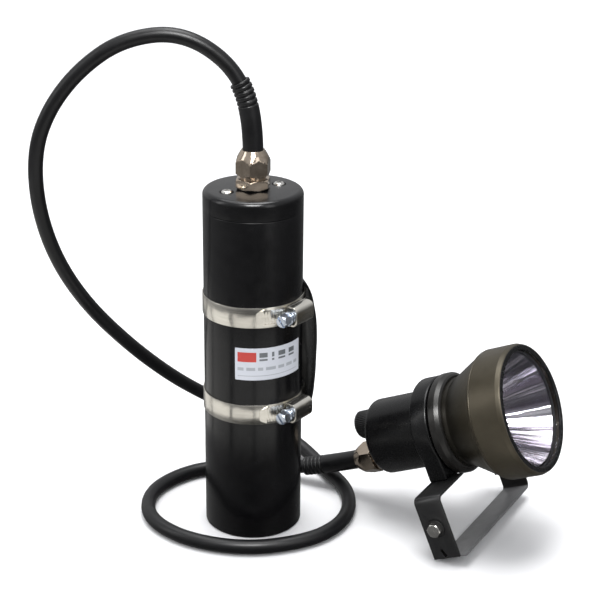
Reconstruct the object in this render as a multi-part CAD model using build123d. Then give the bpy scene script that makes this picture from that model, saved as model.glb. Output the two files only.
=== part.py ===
from build123d import *
import math
import os

# Canister dive light: a battery canister, an umbilical cord and a light head with a hand mount.
# Millimetres. The origin is the centre of the canister's base, +Z is up, and the beam of the
# light head lies in a plane parallel to XZ, pointing to +X and tilted up by HEAD_TILT.

# ---------------------------------------------------------------- driving dimensions: canister
CAN_R = 30.0
CAN_H = 218.5
LID_H = 12.0
LID_PLUG = 12.0
CAN_BORE_R = 26.5
CAN_BASE_T = 6.0
CAN_TOP = CAN_H - LID_H
FIT = 0.05

# battery pack inside the canister
CELL_R = 9.2
CELL_L = 65.0
CELL_RING_R = 13.05
HOLDER_R = 26.2
PACK_ROD_R = 2.0
LID_SCREW_HEAD_R = 3.4
LID_SCREW_RECESS = (4.2, 1.0)
LID_SCREW_L = 25.5
PACK_ROD_PITCH_R = 17.4
PACK_AXIS_DEG = 59.0
LOWER_CELL_Z = 22.0
UPPER_CELL_Z = 91.0
POCKET = 4.0

# ---------------------------------------------------------------- driving dimensions: gland and cord
GLAND_THREAD_R = 8.0
GLAND_AF = 19.0
GLAND_MOUTH_Z = 19.5
GLAND_TOP_Z = 23.6
GLAND_WASHER_T = 0.6
GLAND_BODY_TOP = 6.4
GLAND_NUT_Z = 8.6
GLAND_NECK_R = 7.6
GLAND_DEG = -9.0
CORD_R = 4.5
BOOT_R = 6.1
BOOT_L = 45.0
BOOT_GAP = 0.1
TAIL_L = 22.0

# ---------------------------------------------------------------- driving dimensions: clamps
BAND_W = 12.7
BAND_T = 0.7
BAND_R = CAN_R + 0.05
UPPER_BAND_Z = 147.75
LOWER_BAND_Z = 84.85
HOUSING_DEG = -7.0
HOUSING_L = 17.0
HOUSING_H = 12.4
HOUSING_TOP_R = 39.2
WORM_AXIS_R = 35.0
WORM_R = 3.0
SCREW_HEAD_AF = 7.0

# belt loop: a stiff curved strap that stands off the barrel between the bands, with an eye
# at each end that a band passes through, for 50 mm belt webbing
LOOP_DEG = 56.0
LOOP_ARC_DEG = 48.0
LOOP_T = 1.8
LOOP_PAD_T = 1.2
LOOP_CROWN_R = 39.2

# label
LABEL_FROM_DEG = -80.0
LABEL_TO_DEG = 6.0
LABEL_Z = (107.8, 128.4)

# ---------------------------------------------------------------- driving dimensions: light head
# The head's own axes: x forward along the beam from the front rim, y across, z up.
HEAD_TILT = 24.0
HEAD_X = 160.9
HEAD_Y = 59.4
BEZEL_R = 40.4
BEZEL_L = 21.0
LENS_R = 37.6
LENS_T = 3.0
LENS_FRONT = -1.3
LENS_BACK = LENS_FRONT - LENS_T
SPIGOT_FRONT = -5.98
SPIGOT_R = 37.75
SPIGOT_BORE_R = 36.05
CONE_END = -44.0
NECK_R = 27.8
NECK_RING_R = 31.6
NECK_RING = (-55.5, -47.5)
COLLAR_R = 31.0
COLLAR = (-69.5, -57.0)
COLLAR_FOOT_HALF_W = 28.5
REAR_R = 24.0
REAR_BORE_R = 21.0
REAR_FRONT = -57.0
REAR_END = -108.5
REAR_WALL = 6.5
NECK_BORE_R = 17.0
REFLECTOR_MOUTH = (-5.2, 34.6)
REFLECTOR_HOLE = (-43.5, 6.0)
KNOB_R = 9.0
KNOB_X = (-122.0, -109.1)
KNOB_Z = 10.3
SHAFT_R = 3.0
HEAD_GLAND_Z = -12.0

# hand mount: two bent straps bolted together, sized for a gloved hand
STRAP_W = 18.0
STRAP_T = 1.5
STRAP_X = -60.5
STRAP_HALF_Y = 53.1
BEND_R = 4.0
TOP_PLATE_Z = -26.5
NEAR_PLATE_END_Z = -66.5
FAR_FLANGE_END_Z = -56.0
PALM_PLATE_Z = -68.4
PALM_FLANGE_TOP_Z = -41.0
PALM_SHIFT_X = 2.0
PALM_TONGUE_W = 12.4
COLLAR_SCREW_X = STRAP_X - 2.0
COLLAR_SCREW_Y = 17.0
SLIDE_GAP = 0.15
BOLT_Z = -46.5
BOLT_R = 2.5
SLOT_UP = 0.6
SLOT_DOWN = 7.0

# height of the head's origin that sets the lower rear edge of the palm plate on the ground
SIN_T = math.sin(math.radians(HEAD_TILT))
COS_T = math.cos(math.radians(HEAD_TILT))
PALM_REAR_X = STRAP_X - STRAP_W / 2 + PALM_SHIFT_X
HEAD_Z = -(PALM_REAR_X * SIN_T + PALM_PLATE_Z * COS_T)
HEAD = Pos(HEAD_X, HEAD_Y, HEAD_Z) * Rot(0, -HEAD_TILT, 0)


# ---------------------------------------------------------------- helpers
def lathe(points):
    """A solid of revolution about Z from (radius, z) points."""
    return revolve(Plane.XZ * make_face(Polyline(*points, close=True)), Axis.Z)


def lathe_x(points):
    """A solid of revolution about X from (x, radius) points."""
    return revolve(Plane.XZ * make_face(Polyline(*points, close=True)), Axis.X)


def disc(radius, z0, z1):
    return Pos(0, 0, (z0 + z1) / 2) * Cylinder(radius, z1 - z0)


def ring(outer, inner, z0, z1):
    return disc(outer, z0, z1) - disc(inner, z0, z1)


def disc_x(radius, x0, x1, y=0.0, z=0.0):
    return Pos((x0 + x1) / 2, y, z) * Rot(0, 90, 0) * Cylinder(radius, x1 - x0)


def ring_x(outer, inner, x0, x1):
    return disc_x(outer, x0, x1) - disc_x(inner, x0, x1)


def block(x0, x1, y0, y1, z0, z1):
    return Pos((x0 + x1) / 2, (y0 + y1) / 2, (z0 + z1) / 2) * Box(x1 - x0, y1 - y0, z1 - z0)


def hexagon(across_flats, z0, z1):
    prism = extrude(RegularPolygon(across_flats / 2, 6, major_radius=False), z1 - z0)
    return Pos(0, 0, z0) * prism


def chamfered_hexagon(across_flats, z0, z1, bottom=False):
    """A hexagon prism whose corners are turned off at its upper face, and at its lower on request."""
    corner = across_flats / math.sqrt(3)
    low = across_flats / 2 if bottom else corner + 0.1
    cone = lathe([(0, z0), (low, z0), (corner + 0.1, z0 + 1.0), (corner + 0.1, z1 - 1.0),
                  (across_flats / 2, z1), (0, z1)])
    return hexagon(across_flats, z0, z1) & cone


def around(angle_deg, shape):
    return Rot(0, 0, angle_deg) * shape


def group(shapes):
    """Separate solids kept side by side in one node."""
    return Compound([solid for shape in shapes for solid in shape.solids()])


def rod_places():
    return [around(PACK_AXIS_DEG + turn, Pos(PACK_ROD_PITCH_R, 0, 0)) for turn in (0, 180)]


# ---------------------------------------------------------------- canister
def make_canister_body():
    shell = ring(CAN_R, CAN_BORE_R, CAN_BASE_T, CAN_TOP) + disc(CAN_R, 0, CAN_BASE_T)
    return chamfer(shell.edges().filter_by(GeomType.CIRCLE).group_by(Axis.Z)[0], 0.8)


def make_canister_lid():
    plug_r = CAN_BORE_R - FIT
    groove_r = CAN_BORE_R - 2.05
    low = CAN_TOP - LID_PLUG
    body = lathe([(0, low), (plug_r - 0.8, low), (plug_r, low + 0.8), (plug_r, low + 2.5),
                  (groove_r, low + 2.5), (groove_r, low + 4.9), (plug_r, low + 4.9),
                  (plug_r, low + 6.6), (groove_r, low + 6.6), (groove_r, low + 9.0),
                  (plug_r, low + 9.0), (plug_r, CAN_TOP), (CAN_R - 0.5, CAN_TOP),
                  (CAN_R, CAN_TOP + 0.5), (CAN_R, CAN_H), (0, CAN_H)])
    rim = body.edges().filter_by(GeomType.CIRCLE).group_by(Axis.Z)[-1]
    body = fillet(rim, 3.5)
    body = body - disc(GLAND_THREAD_R, low - 1, CAN_H + 1)
    recess_r, recess = LID_SCREW_RECESS
    for place in rod_places():
        body = body - place * disc(PACK_ROD_R + 0.2, low - 1, CAN_H + 1)
        body = body - place * disc(recess_r, CAN_H - recess, CAN_H + 1)
    return body


def make_lid_o_rings():
    low = CAN_TOP - LID_PLUG
    torus = Torus(CAN_BORE_R - 1.025, 1.0)
    return group([Pos(0, 0, low + 3.7) * torus, Pos(0, 0, low + 7.8) * torus])


def make_lid_screws():
    """Cross-recess pan-head screws, sunk a little way into the lid."""
    seat = CAN_H - LID_SCREW_RECESS[1]
    head_h = 2.2
    screws = []
    for place in rod_places():
        screw = disc(LID_SCREW_HEAD_R, seat, seat + head_h) + disc(PACK_ROD_R, seat - LID_SCREW_L, seat)
        screw = fillet(screw.edges().filter_by(GeomType.CIRCLE).group_by(Axis.Z)[-1], 1.2)
        cross = Box(3.8, 0.9, 2.4) + Box(0.9, 3.8, 2.4)
        screw = screw - Pos(0, 0, seat + head_h) * Rot(0, 0, 30) * cross
        screws.append(place * screw)
    return group(screws)


def pack_cells():
    return [around(PACK_AXIS_DEG + 45 + 90 * i, Pos(CELL_RING_R, 0, 0)) for i in range(4)]


def make_battery_cells():
    cells = []
    for base in (LOWER_CELL_Z, UPPER_CELL_Z):
        for place in pack_cells():
            can = disc(CELL_R, base, base + CELL_L - 1.5) + disc(3.2, base + CELL_L - 1.5, base + CELL_L)
            cells.append(place * can)
    return group(cells)


def holder(z0, z1, pockets):
    plate = disc(HOLDER_R, z0, z1)
    for low, high in pockets:
        for place in pack_cells():
            plate = plate - place * disc(CELL_R + 0.1, low, high)
    for place in rod_places():
        plate = plate - place * disc(PACK_ROD_R + 0.1, z0 - 1, z1 + 1)
    return plate


def make_cell_holders():
    """Pocketed plates below, between and above the two layers of cells."""
    low_end = LOWER_CELL_Z
    low_top = LOWER_CELL_Z + CELL_L
    high_end = UPPER_CELL_Z
    high_top = UPPER_CELL_Z + CELL_L
    return group([holder(low_end - POCKET, low_end + POCKET, [(low_end, low_end + POCKET)]),
                  holder(low_top - POCKET, high_end + POCKET,
                         [(low_top - POCKET, low_top), (high_end, high_end + POCKET)]),
                  holder(high_top - POCKET, high_top + POCKET, [(high_top - POCKET, high_top)])])


def make_pack_rods():
    top = CAN_TOP - LID_PLUG
    rod = disc(PACK_ROD_R, LOWER_CELL_Z - 8, top - 14)
    rod = rod + disc(3.4, top - 14, top) - disc(PACK_ROD_R + 0.05, top - 12, top)
    return group([place * rod for place in rod_places()])


def make_pack_nuts():
    low = LOWER_CELL_Z - POCKET - 3.2
    nut = hexagon(7.0, low, low + 3.2) - disc(PACK_ROD_R + 0.05, low - 1, low + 4)
    return group([place * nut for place in rod_places()])


def make_protection_board():
    z = UPPER_CELL_Z + CELL_L + POCKET + 3.0
    board = disc(24.0, z, z + 1.6)
    for place in rod_places():
        board = board - place * disc(PACK_ROD_R + 0.3, z - 1, z + 3)
    for i in range(4):
        chip = Pos(9.5, 0, z + 2.6) * Box(6.0, 4.0, 2.0)
        board = board + around(PACK_AXIS_DEG + 45 + 90 * i, chip)
    return board


def make_base_foam_pad():
    return disc(CAN_BORE_R - 0.5, CAN_BASE_T, LOWER_CELL_Z - 8.5)


def make_label():
    """A thin printed sticker wrapped round the front of the barrel."""
    sweep_deg = LABEL_TO_DEG - LABEL_FROM_DEG
    z0, z1 = LABEL_Z
    inner = CAN_R + 0.02
    strip = Plane.XZ * make_face(Polyline((inner, z0), (inner + 0.18, z0), (inner + 0.18, z1),
                                          (inner, z1), close=True))
    return around(LABEL_FROM_DEG, revolve(strip, Axis.Z, revolution_arc=sweep_deg))


# ---------------------------------------------------------------- worm-drive clamps
def band_outline():
    """The inner line of a band: round the barrel, lifted where it crosses the belt loop's pad."""
    pad_r = CAN_R + LOOP_PAD_T + 0.08
    pad = CenterArc((0, 0), pad_r, LOOP_DEG - LOOP_ARC_DEG / 2, LOOP_ARC_DEG)
    barrel = Circle(BAND_R).edge()
    return make_hull([barrel, pad])


def make_clamp_band(z, tail_from_deg):
    inner = band_outline()
    band = extrude(offset(inner, BAND_T) - inner, BAND_W)
    band = Pos(0, 0, z - BAND_W / 2) * band
    outer = BAND_R + 2 * BAND_T
    tail_face = Plane.XZ * make_face(Polyline((outer - BAND_T - 0.02, -5.6), (outer, -5.6), (outer, 5.6),
                                              (outer - BAND_T - 0.02, 5.6), close=True))
    tail_deg = HOUSING_DEG + 16 - tail_from_deg
    tail = Pos(0, 0, z) * around(tail_from_deg, revolve(tail_face, Axis.Z, revolution_arc=tail_deg))
    for i in range(8):
        slot = Pos(outer, 0, 0) * Rot(12, 0, 0) * Box(0.9, 1.0, 7.4)
        tail = tail - Pos(0, 0, z) * around(tail_from_deg + 8.5 + 3.6 * i, slot)
    return band + tail


def housing_place(z):
    """x runs outwards from the canister's axis, y along the worm and z along the canister."""
    return Pos(0, 0, z) * Rot(0, 0, HOUSING_DEG)


def make_clamp_housing(z):
    base_r = BAND_R + 2 * BAND_T + 0.15
    half_h = HOUSING_H / 2
    shell = block(base_r, HOUSING_TOP_R, -HOUSING_L / 2, HOUSING_L / 2, -half_h, half_h)
    top_edges = shell.edges().filter_by(Axis.Y).group_by(Axis.X)[-1]
    shell = fillet(top_edges, 4.6)
    bore = Pos(WORM_AXIS_R, 0, 0) * Rot(90, 0, 0) * Cylinder(WORM_R + 0.08, HOUSING_L + 2)
    skirt = block(base_r - 4, base_r + 1.2, -HOUSING_L / 2, HOUSING_L / 2, -half_h, half_h)
    housing = shell + skirt - disc(BAND_R + 2 * BAND_T + 0.05, -8, 8) - bore
    return housing_place(z) * housing


def make_clamp_screw(z):
    start = -HOUSING_L / 2
    along = Pos(WORM_AXIS_R, 0, 0) * Rot(90, 0, 0)
    screw = Cylinder(WORM_R, HOUSING_L - 0.6)
    screw = screw + Pos(0, 0, -start + 1.6) * Cylinder(WORM_R - 0.3, 4.0)
    screw = screw + Pos(0, 0, -start + 4.1) * Cylinder(4.4, 1.2)
    head = chamfered_hexagon(SCREW_HEAD_AF, -start + 4.6, -start + 10.2)
    slot = Pos(0, 0, -start + 10.2) * Box(1.3, 12, 3.2)
    return housing_place(z) * along * (screw + head - slot)


def make_belt_loop():
    """A curved strap standing off the barrel, with an eye round each band and a pad under it."""
    top = UPPER_BAND_Z + BAND_W / 2
    low = LOWER_BAND_Z - BAND_W / 2
    pad_r = CAN_R + 0.03 + LOOP_PAD_T
    crown = LOOP_CROWN_R
    outer = [(pad_r, top + 5.2), (33.7, top + 0.9), (35.9, top - 4.1), (37.4, top - 11.0),
             (crown - 0.5, top - 20.0), (crown, top - 32.0), (crown - 0.3, top - 44.0),
             (crown - 0.6, low + 21.5), (crown - 1.2, low + 13.5), (crown - 1.9, low + 6.5),
             (crown - 3.6, low), (pad_r, low - 4.2)]
    inner = [(35.4 - LOOP_T, low - 0.9), (crown - 1.9 - LOOP_T, low + 6.5),
             (crown - 1.2 - LOOP_T, low + 13.5), (crown - 0.6 - LOOP_T, low + 21.5),
             (crown - 0.3 - LOOP_T, top - 44.0), (crown - LOOP_T, top - 32.0),
             (crown - 0.5 - LOOP_T, top - 20.0), (37.4 - LOOP_T, top - 11.0),
             (35.9 - LOOP_T, top - 4.1), (33.0, top + 1.0)]
    wall = CAN_R + 0.03
    lower_pad = [(wall, low - 4.2), (wall, low + BAND_W + 3.0), (pad_r, low + BAND_W + 3.0),
                 (pad_r, low - 0.9)]
    upper_pad = [(pad_r, top + 1.0), (pad_r, top - BAND_W - 3.0), (wall, top - BAND_W - 3.0),
                 (wall, top + 5.2)]
    side = Plane.XZ * make_face(Polyline(*outer, *lower_pad, *inner, *upper_pad, close=True))
    strap = revolve(side, Axis.Z, revolution_arc=LOOP_ARC_DEG)
    return around(LOOP_DEG - LOOP_ARC_DEG / 2, strap)


# ---------------------------------------------------------------- cable gland, used twice
def make_gland_body():
    bore = CORD_R + BOOT_GAP
    seat_r = BOOT_R + BOOT_GAP
    neck_top = 15.0
    body = disc(GLAND_THREAD_R - FIT, -10, GLAND_WASHER_T)
    body = body + chamfered_hexagon(GLAND_AF, GLAND_WASHER_T, GLAND_BODY_TOP)
    body = body + disc(GLAND_NECK_R, GLAND_BODY_TOP, neck_top)
    return body - disc(bore, -11, neck_top + 1) - disc(seat_r, 5.0, neck_top + 1)


def make_gland_washer():
    return ring(9.2, GLAND_THREAD_R + 0.02, 0.0, GLAND_WASHER_T)


def make_gland_seal():
    return ring(6.15, CORD_R + 0.05, 5.0, 14.0)


def make_gland_nut():
    """A hexagon cap whose corners are turned off into a cone that closes on the boot."""
    flat = GLAND_AF / 2
    corner = GLAND_AF / math.sqrt(3)
    shoulder = GLAND_NUT_Z + 10.3
    inside_top = 15.4
    blank = lathe([(0, GLAND_NUT_Z), (flat, GLAND_NUT_Z), (corner, GLAND_NUT_Z + 1.0),
                   (corner, shoulder - 2.6), (flat, shoulder), (7.3, GLAND_TOP_Z - 0.7),
                   (6.9, GLAND_TOP_Z), (0, GLAND_TOP_Z)])
    flats = hexagon(GLAND_AF, GLAND_NUT_Z, shoulder) + disc(flat, shoulder - 0.1, GLAND_TOP_Z)
    nut = (blank & flats) - disc(GLAND_NECK_R + FIT, GLAND_NUT_Z - 1, inside_top)
    nut = nut - disc(CORD_R + BOOT_GAP, inside_top - 1, GLAND_MOUTH_Z + 1)
    return nut - disc(BOOT_R + BOOT_GAP, GLAND_MOUTH_Z, GLAND_TOP_Z + 1)


GLAND_MAKERS = {"body": make_gland_body, "washer": make_gland_washer, "seal": make_gland_seal,
                "nut": make_gland_nut}


def canister_gland_place():
    return Pos(0, 0, CAN_H) * Rot(0, 0, GLAND_DEG)


def head_gland_place():
    return HEAD * Pos(REAR_END, 0, HEAD_GLAND_Z) * Rot(0, -90, 0)


def make_cord_tail(place):
    """The end of the cord inside its gland, from the mouth inwards."""
    return place * disc(CORD_R, GLAND_MOUTH_Z - TAIL_L - 8, GLAND_MOUTH_Z)


def straight_wire(radius, points):
    """A thin insulated wire in straight lengths with ball corners."""
    wire = None
    for start, end in zip(points, points[1:]):
        a = Vector(*start)
        b = Vector(*end)
        length = (b - a).length
        run = Plane(origin=a, z_dir=b - a) * Pos(0, 0, length / 2) * Cylinder(radius, length)
        wire = run if wire is None else wire + run
        wire = wire + Pos(b) * Sphere(radius)
    return wire


def make_canister_leads():
    top = CAN_H + GLAND_MOUTH_Z - TAIL_L - 8
    board = UPPER_CELL_Z + CELL_L + POCKET + 3.0 + 1.6
    leads = []
    for side in (-1, 1):
        points = [(1.6 * side, 0, top), (1.6 * side, 0, top - 8), (5.0 * side, 6, top - 24),
                  (3.0 * side, 4, board + 0.85)]
        leads.append(straight_wire(0.8, points))
    return group(leads)


# ---------------------------------------------------------------- cord and its boots
def cord_points():
    """The route of the cord's centre line, from the canister's gland to the head's gland."""
    start = canister_gland_place() * Pos(0, 0, GLAND_MOUTH_Z)
    end = (head_gland_place() * Pos(0, 0, GLAND_MOUTH_Z)).position
    floor = CORD_R
    reach = (end.Z - floor) / SIN_T
    corner = (end.X - reach * COS_T, end.Y, floor)
    return [tuple(start.position), (0, 0, 264), (-11, -5, 292), (-37, -18, 310), (-67, -33, 305),
            (-90, -44, 287), (-108, -51, 263), (-119, -53, 236), (-123, -48, 200), (-120, -37, 163),
            (-111, -19, 128), (-98, 7, 94), (-87, 35, 65), (-82, 68, 39), (-57, 89, 20), (-20, 91, 8),
            (12, 71.5, floor), (36, 57, floor), (52, 35, floor), (58, 9, floor), (50, -18, floor),
            (22, -46, floor), (-19, -55, floor), (-55, -42, floor), (-72, -7, floor), (-56, 37, floor),
            corner, tuple(end)]


def corner_radii(points):
    radii = []
    for before, here, after in zip(points, points[1:], points[2:]):
        first = Vector(*here) - Vector(*before)
        second = Vector(*after) - Vector(*here)
        half_turn = math.radians(first.get_angle(second)) / 2
        radii.append(0.45 * min(first.length, second.length) / math.tan(half_turn))
    return radii


def cord_path(points):
    return FilletPolyline(*points, radius=corner_radii(points)).wire()


def tube_along(path, sketch):
    start = Plane(origin=path @ 0, z_dir=path % 0)
    return sweep(start * sketch, path=path)


def make_cord():
    return tube_along(cord_path(cord_points()), Circle(CORD_R))


def make_boot(points):
    """A sleeve on the first BOOT_L millimetres of a route, drawn from its straight run and first arc."""
    path = cord_path(points)
    edges = path.edges()
    straight = edges[0]
    arc = edges[1]
    rest = (BOOT_L - straight.length) / arc.length
    wire = Wire([straight, arc.trim(0, rest)])
    sleeve = Circle(BOOT_R) - Circle(CORD_R + BOOT_GAP)
    return tube_along(wire, sleeve)


def make_canister_boot():
    return make_boot(cord_points()[:4])


def make_head_boot():
    return make_boot(list(reversed(cord_points()))[:4])


# ---------------------------------------------------------------- light head, front
def make_bezel_ring():
    aperture = 35.6
    lip_back = LENS_FRONT + FIT
    return lathe_x([(-0.4, aperture), (0, 36.0), (0, 38.9), (-0.9, 39.6), (-3.2, BEZEL_R),
                    (-BEZEL_L + 0.3, BEZEL_R), (-BEZEL_L, BEZEL_R - 0.3), (-BEZEL_L, SPIGOT_R + FIT),
                    (lip_back, SPIGOT_R + FIT), (lip_back, aperture)])


def make_lens():
    return disc_x(LENS_R, LENS_BACK, LENS_FRONT)


def make_lens_o_ring():
    return Pos((LENS_BACK + SPIGOT_FRONT) / 2, 0, 0) * Rot(0, 90, 0) * Torus(36.95, 0.78)


def reflector_radius(x):
    """A parabola through the reflector's mouth and the edge of its lamp hole."""
    x_mouth, r_mouth = REFLECTOR_MOUTH
    x_hole, r_hole = REFLECTOR_HOLE
    slope = (r_mouth ** 2 - r_hole ** 2) / (x_mouth - x_hole)
    return math.sqrt(r_hole ** 2 + slope * (x - x_hole))


def make_reflector():
    x_mouth, r_mouth = REFLECTOR_MOUTH
    x_hole, r_hole = REFLECTOR_HOLE
    wall = 1.2
    lip_r = SPIGOT_BORE_R - 2 * FIT
    xs = [x_hole + (x_mouth - x_hole) * (i / 6) ** 1.6 for i in range(7)]
    inner = Spline(*[(x, reflector_radius(x)) for x in xs])
    outer = Spline(*[(x - 1.0, reflector_radius(x) + wall) for x in xs])
    back = Line(inner @ 0, outer @ 0)
    lip = Polyline(outer @ 1, (x_mouth - 1.0, lip_r), (x_mouth, lip_r), inner @ 1)
    face = make_face([inner, outer, back, lip])
    return revolve(Plane.XZ * face, Axis.X)


def make_neck_housing():
    shoulder = -BEZEL_L - 0.15
    outside = [(SPIGOT_FRONT, SPIGOT_BORE_R), (SPIGOT_FRONT, SPIGOT_R), (shoulder, SPIGOT_R),
               (shoulder, 40.0), (shoulder - 0.3, 40.2), (-22.6, 39.7), (-24.4, 38.4),
               (CONE_END + 0.6, NECK_R + 0.4), (CONE_END - 0.6, NECK_R), (REAR_FRONT + 0.1, NECK_R)]
    tail = [(REAR_FRONT + 0.1, REAR_BORE_R - FIT), (-62.0, REAR_BORE_R - FIT), (-62.0, 19.0),
            (-64.4, 19.0), (-64.4, REAR_BORE_R - FIT), (-68.0, REAR_BORE_R - FIT), (-68.0, NECK_BORE_R)]
    inside = [(CONE_END - 1.5, NECK_BORE_R), (CONE_END + 1.0, 20.5), (-24.0, 34.1), (-11.5, 34.6),
              (-9.5, SPIGOT_BORE_R)]
    return lathe_x(outside + tail + inside)


def make_neck_o_ring():
    return Pos(-63.2, 0, 0) * Rot(0, 90, 0) * Torus(20.0, 0.97)


def make_neck_ring():
    rear, front = NECK_RING
    return lathe_x([(rear, NECK_R + FIT), (rear, NECK_RING_R - 0.5), (rear + 0.5, NECK_RING_R),
                    (front - 3.4, NECK_RING_R), (front - 1.0, NECK_RING_R - 1.4),
                    (front, NECK_RING_R - 2.6), (front, NECK_R + FIT)])


def make_heat_sink():
    slug = disc_x(NECK_BORE_R - FIT, -67.0, -47.0)
    for i in range(12):
        slot = Pos(-61.0, 0, 0) * Rot(i * 30, 0, 0) * Pos(0, 0, 13.0) * Box(14.0, 1.6, 6.0)
        slug = slug - slot
    return slug - disc_x(2.2, -68, -46, y=6.0)


def make_led_board():
    return disc_x(11.0, -47.0, -45.4) - disc_x(1.8, -48, -45, y=6.0)


def make_led_emitter():
    base = block(-45.4, -44.6, -3.4, 3.4, -3.4, 3.4)
    dome = Pos(-44.6, 0, 0) * Sphere(2.6) & block(-44.6, -40, -3, 3, -3, 3)
    return base + dome


def make_driver_board():
    board = disc_x(18.5, -80.0, -78.4)
    coil = Pos(-76.2, -6, 4) * Box(4.4, 8.0, 8.0)
    chip = Pos(-77.6, 7, -3) * Box(1.6, 6.0, 6.0)
    caps = disc_x(3.0, -78.4, -71.0, y=5.0, z=10.0)
    return board + coil + chip + caps


# ---------------------------------------------------------------- light head, rear body and collar
def make_rear_body():
    tube = ring_x(REAR_R, REAR_BORE_R, REAR_END + REAR_WALL, REAR_FRONT)
    wall = disc_x(REAR_R, REAR_END, REAR_END + REAR_WALL)
    rim = wall.edges().filter_by(GeomType.CIRCLE).group_by(Axis.X)[0]
    body = tube + fillet(rim, 3.6)
    body = body - disc_x(SHAFT_R + FIT, REAR_END - 1, REAR_END + REAR_WALL + 1, z=KNOB_Z)
    body = body - disc_x(5.0, REAR_END + 2.2, REAR_END + 4.2, z=KNOB_Z)
    body = body - disc_x(GLAND_THREAD_R, REAR_END - 1, REAR_END + REAR_WALL + 1, z=HEAD_GLAND_Z)
    spot = disc_x(11.6, REAR_END - 1, REAR_END, z=HEAD_GLAND_Z)
    return body - spot


def make_collar():
    """A round clamp block whose sides run straight down to a flat foot for the hand mount."""
    rear, front = COLLAR
    half = COLLAR_FOOT_HALF_W
    round_part = disc_x(COLLAR_R, rear, front)
    round_part = fillet(round_part.edges().filter_by(GeomType.CIRCLE).group_by(Axis.X)[0], 3.0)
    lower = block(rear, front, -COLLAR_R - 1, COLLAR_R + 1, -COLLAR_R - 1, TOP_PLATE_Z)
    foot = block(rear, front, -half, half, TOP_PLATE_Z, -10)
    body = round_part - lower + foot - disc_x(REAR_R + FIT, rear - 1, front + 1)
    for y in (-COLLAR_SCREW_Y, COLLAR_SCREW_Y):
        body = body - Pos(COLLAR_SCREW_X, y, TOP_PLATE_Z + 3.6) * Cylinder(BOLT_R, 7.3)
    return body


def make_collar_screws():
    """Countersunk screws that hold the hand mount's top plate up against the collar's foot."""
    low = TOP_PLATE_Z - STRAP_T
    screws = []
    tip = TOP_PLATE_Z + 6.6
    for y in (-COLLAR_SCREW_Y, COLLAR_SCREW_Y):
        head = lathe([(0, low), (3.9, low), (3.9, low + 0.1), (BOLT_R - FIT, low + STRAP_T),
                      (BOLT_R - FIT, tip), (0, tip)])
        head = head - Pos(0, 0, low) * hexagon(3.0, -1, 1.4)
        screws.append(Pos(COLLAR_SCREW_X, y, 0) * head)
    return group(screws)


# ---------------------------------------------------------------- switch
def make_switch_knob():
    rear, front = KNOB_X
    knob = disc_x(KNOB_R, rear, front)
    knob = fillet(knob.edges().filter_by(GeomType.CIRCLE).group_by(Axis.X)[0], 1.2)
    knob = chamfer(knob.edges().filter_by(GeomType.CIRCLE).group_by(Axis.X)[-1], 0.5)
    for i in range(30):
        groove = Rot(i * 12, 0, 0) * disc_x(0.5, rear + 2.2, front - 1.2, z=KNOB_R + 0.12)
        knob = knob - groove
    pointer = block(rear - 0.1, rear + 0.5, -0.6, 0.6, 2.5, KNOB_R - 1.6)
    knob = knob - pointer - disc_x(SHAFT_R + 0.02, rear + 3.0, front + 1)
    return Pos(0, 0, KNOB_Z) * knob


def make_switch_shaft():
    shaft = disc_x(SHAFT_R, KNOB_X[0] + 3.2, REAR_END + REAR_WALL + 8.0, z=KNOB_Z)
    stop = disc_x(4.4, REAR_END + REAR_WALL + 0.4, REAR_END + REAR_WALL + 1.4, z=KNOB_Z)
    return shaft + stop


def make_switch_cam():
    x0 = REAR_END + REAR_WALL + 3.0
    lobe = disc_x(4.4, x0, x0 + 4.0, z=KNOB_Z) + disc_x(2.6, x0, x0 + 4.0, y=-3.2, z=KNOB_Z)
    return lobe - disc_x(SHAFT_R + 0.02, x0 - 1, x0 + 5, z=KNOB_Z)


def make_switch_o_ring():
    return Pos(REAR_END + 3.2, 0, KNOB_Z) * Rot(0, 90, 0) * Torus(4.02, 0.92)


def make_micro_switch():
    x0 = REAR_END + REAR_WALL + 1.0
    body = block(x0, x0 + 12.8, -6.5, 6.5, KNOB_Z - 13.5, KNOB_Z - 7.5)
    return body + Pos(x0 + 4, 0, KNOB_Z - 6.7) * Box(2.0, 2.4, 1.6)


def make_head_leads():
    entry = REAR_END + 10.5
    leads = []
    for side in (-1, 1):
        points = [(entry, 1.6 * side, HEAD_GLAND_Z), (entry + 5, 1.6 * side, HEAD_GLAND_Z),
                  (-86, 4.0 * side, HEAD_GLAND_Z + 1), (-80.9, 4.0 * side, HEAD_GLAND_Z + 2)]
        leads.append(straight_wire(0.8, points))
    leads.append(straight_wire(0.8, [(-77.5, 6, -9), (-72, 6, -5), (-68.0, 6, 0), (-47.9, 6, 0)]))
    return group(leads)


# ---------------------------------------------------------------- hand mount
def bent_strap(points, x_centre):
    """A flat strap of STRAP_W, bent along an outline of outer corners in the YZ plane."""
    outer = FilletPolyline(*points, radius=BEND_R)
    line = Plane.YZ * outer
    inward = Plane.YZ * offset_outline(points)
    ends = [Line(line @ 0, inward @ 0), Line(line @ 1, inward @ 1)]
    face = make_face([line, inward] + ends)
    return Pos(x_centre, 0, 0) * extrude(face, STRAP_W / 2, both=True, dir=(1, 0, 0))


def offset_outline(points):
    """The inner face of a square-cornered strap, STRAP_T inside the outer outline."""
    corners = []
    for i, point in enumerate(points):
        here = Vector(*point)
        normals = []
        if i > 0:
            step = (here - Vector(*points[i - 1])).normalized()
            normals.append(Vector(-step.Y, step.X))
        if i < len(points) - 1:
            step = (Vector(*points[i + 1]) - here).normalized()
            normals.append(Vector(-step.Y, step.X))
        shift = normals[0] if len(normals) == 1 else normals[0] + normals[1]
        moved = here + shift * STRAP_T
        corners.append((moved.X, moved.Y))
    return FilletPolyline(*corners, radius=BEND_R - STRAP_T)


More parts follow.
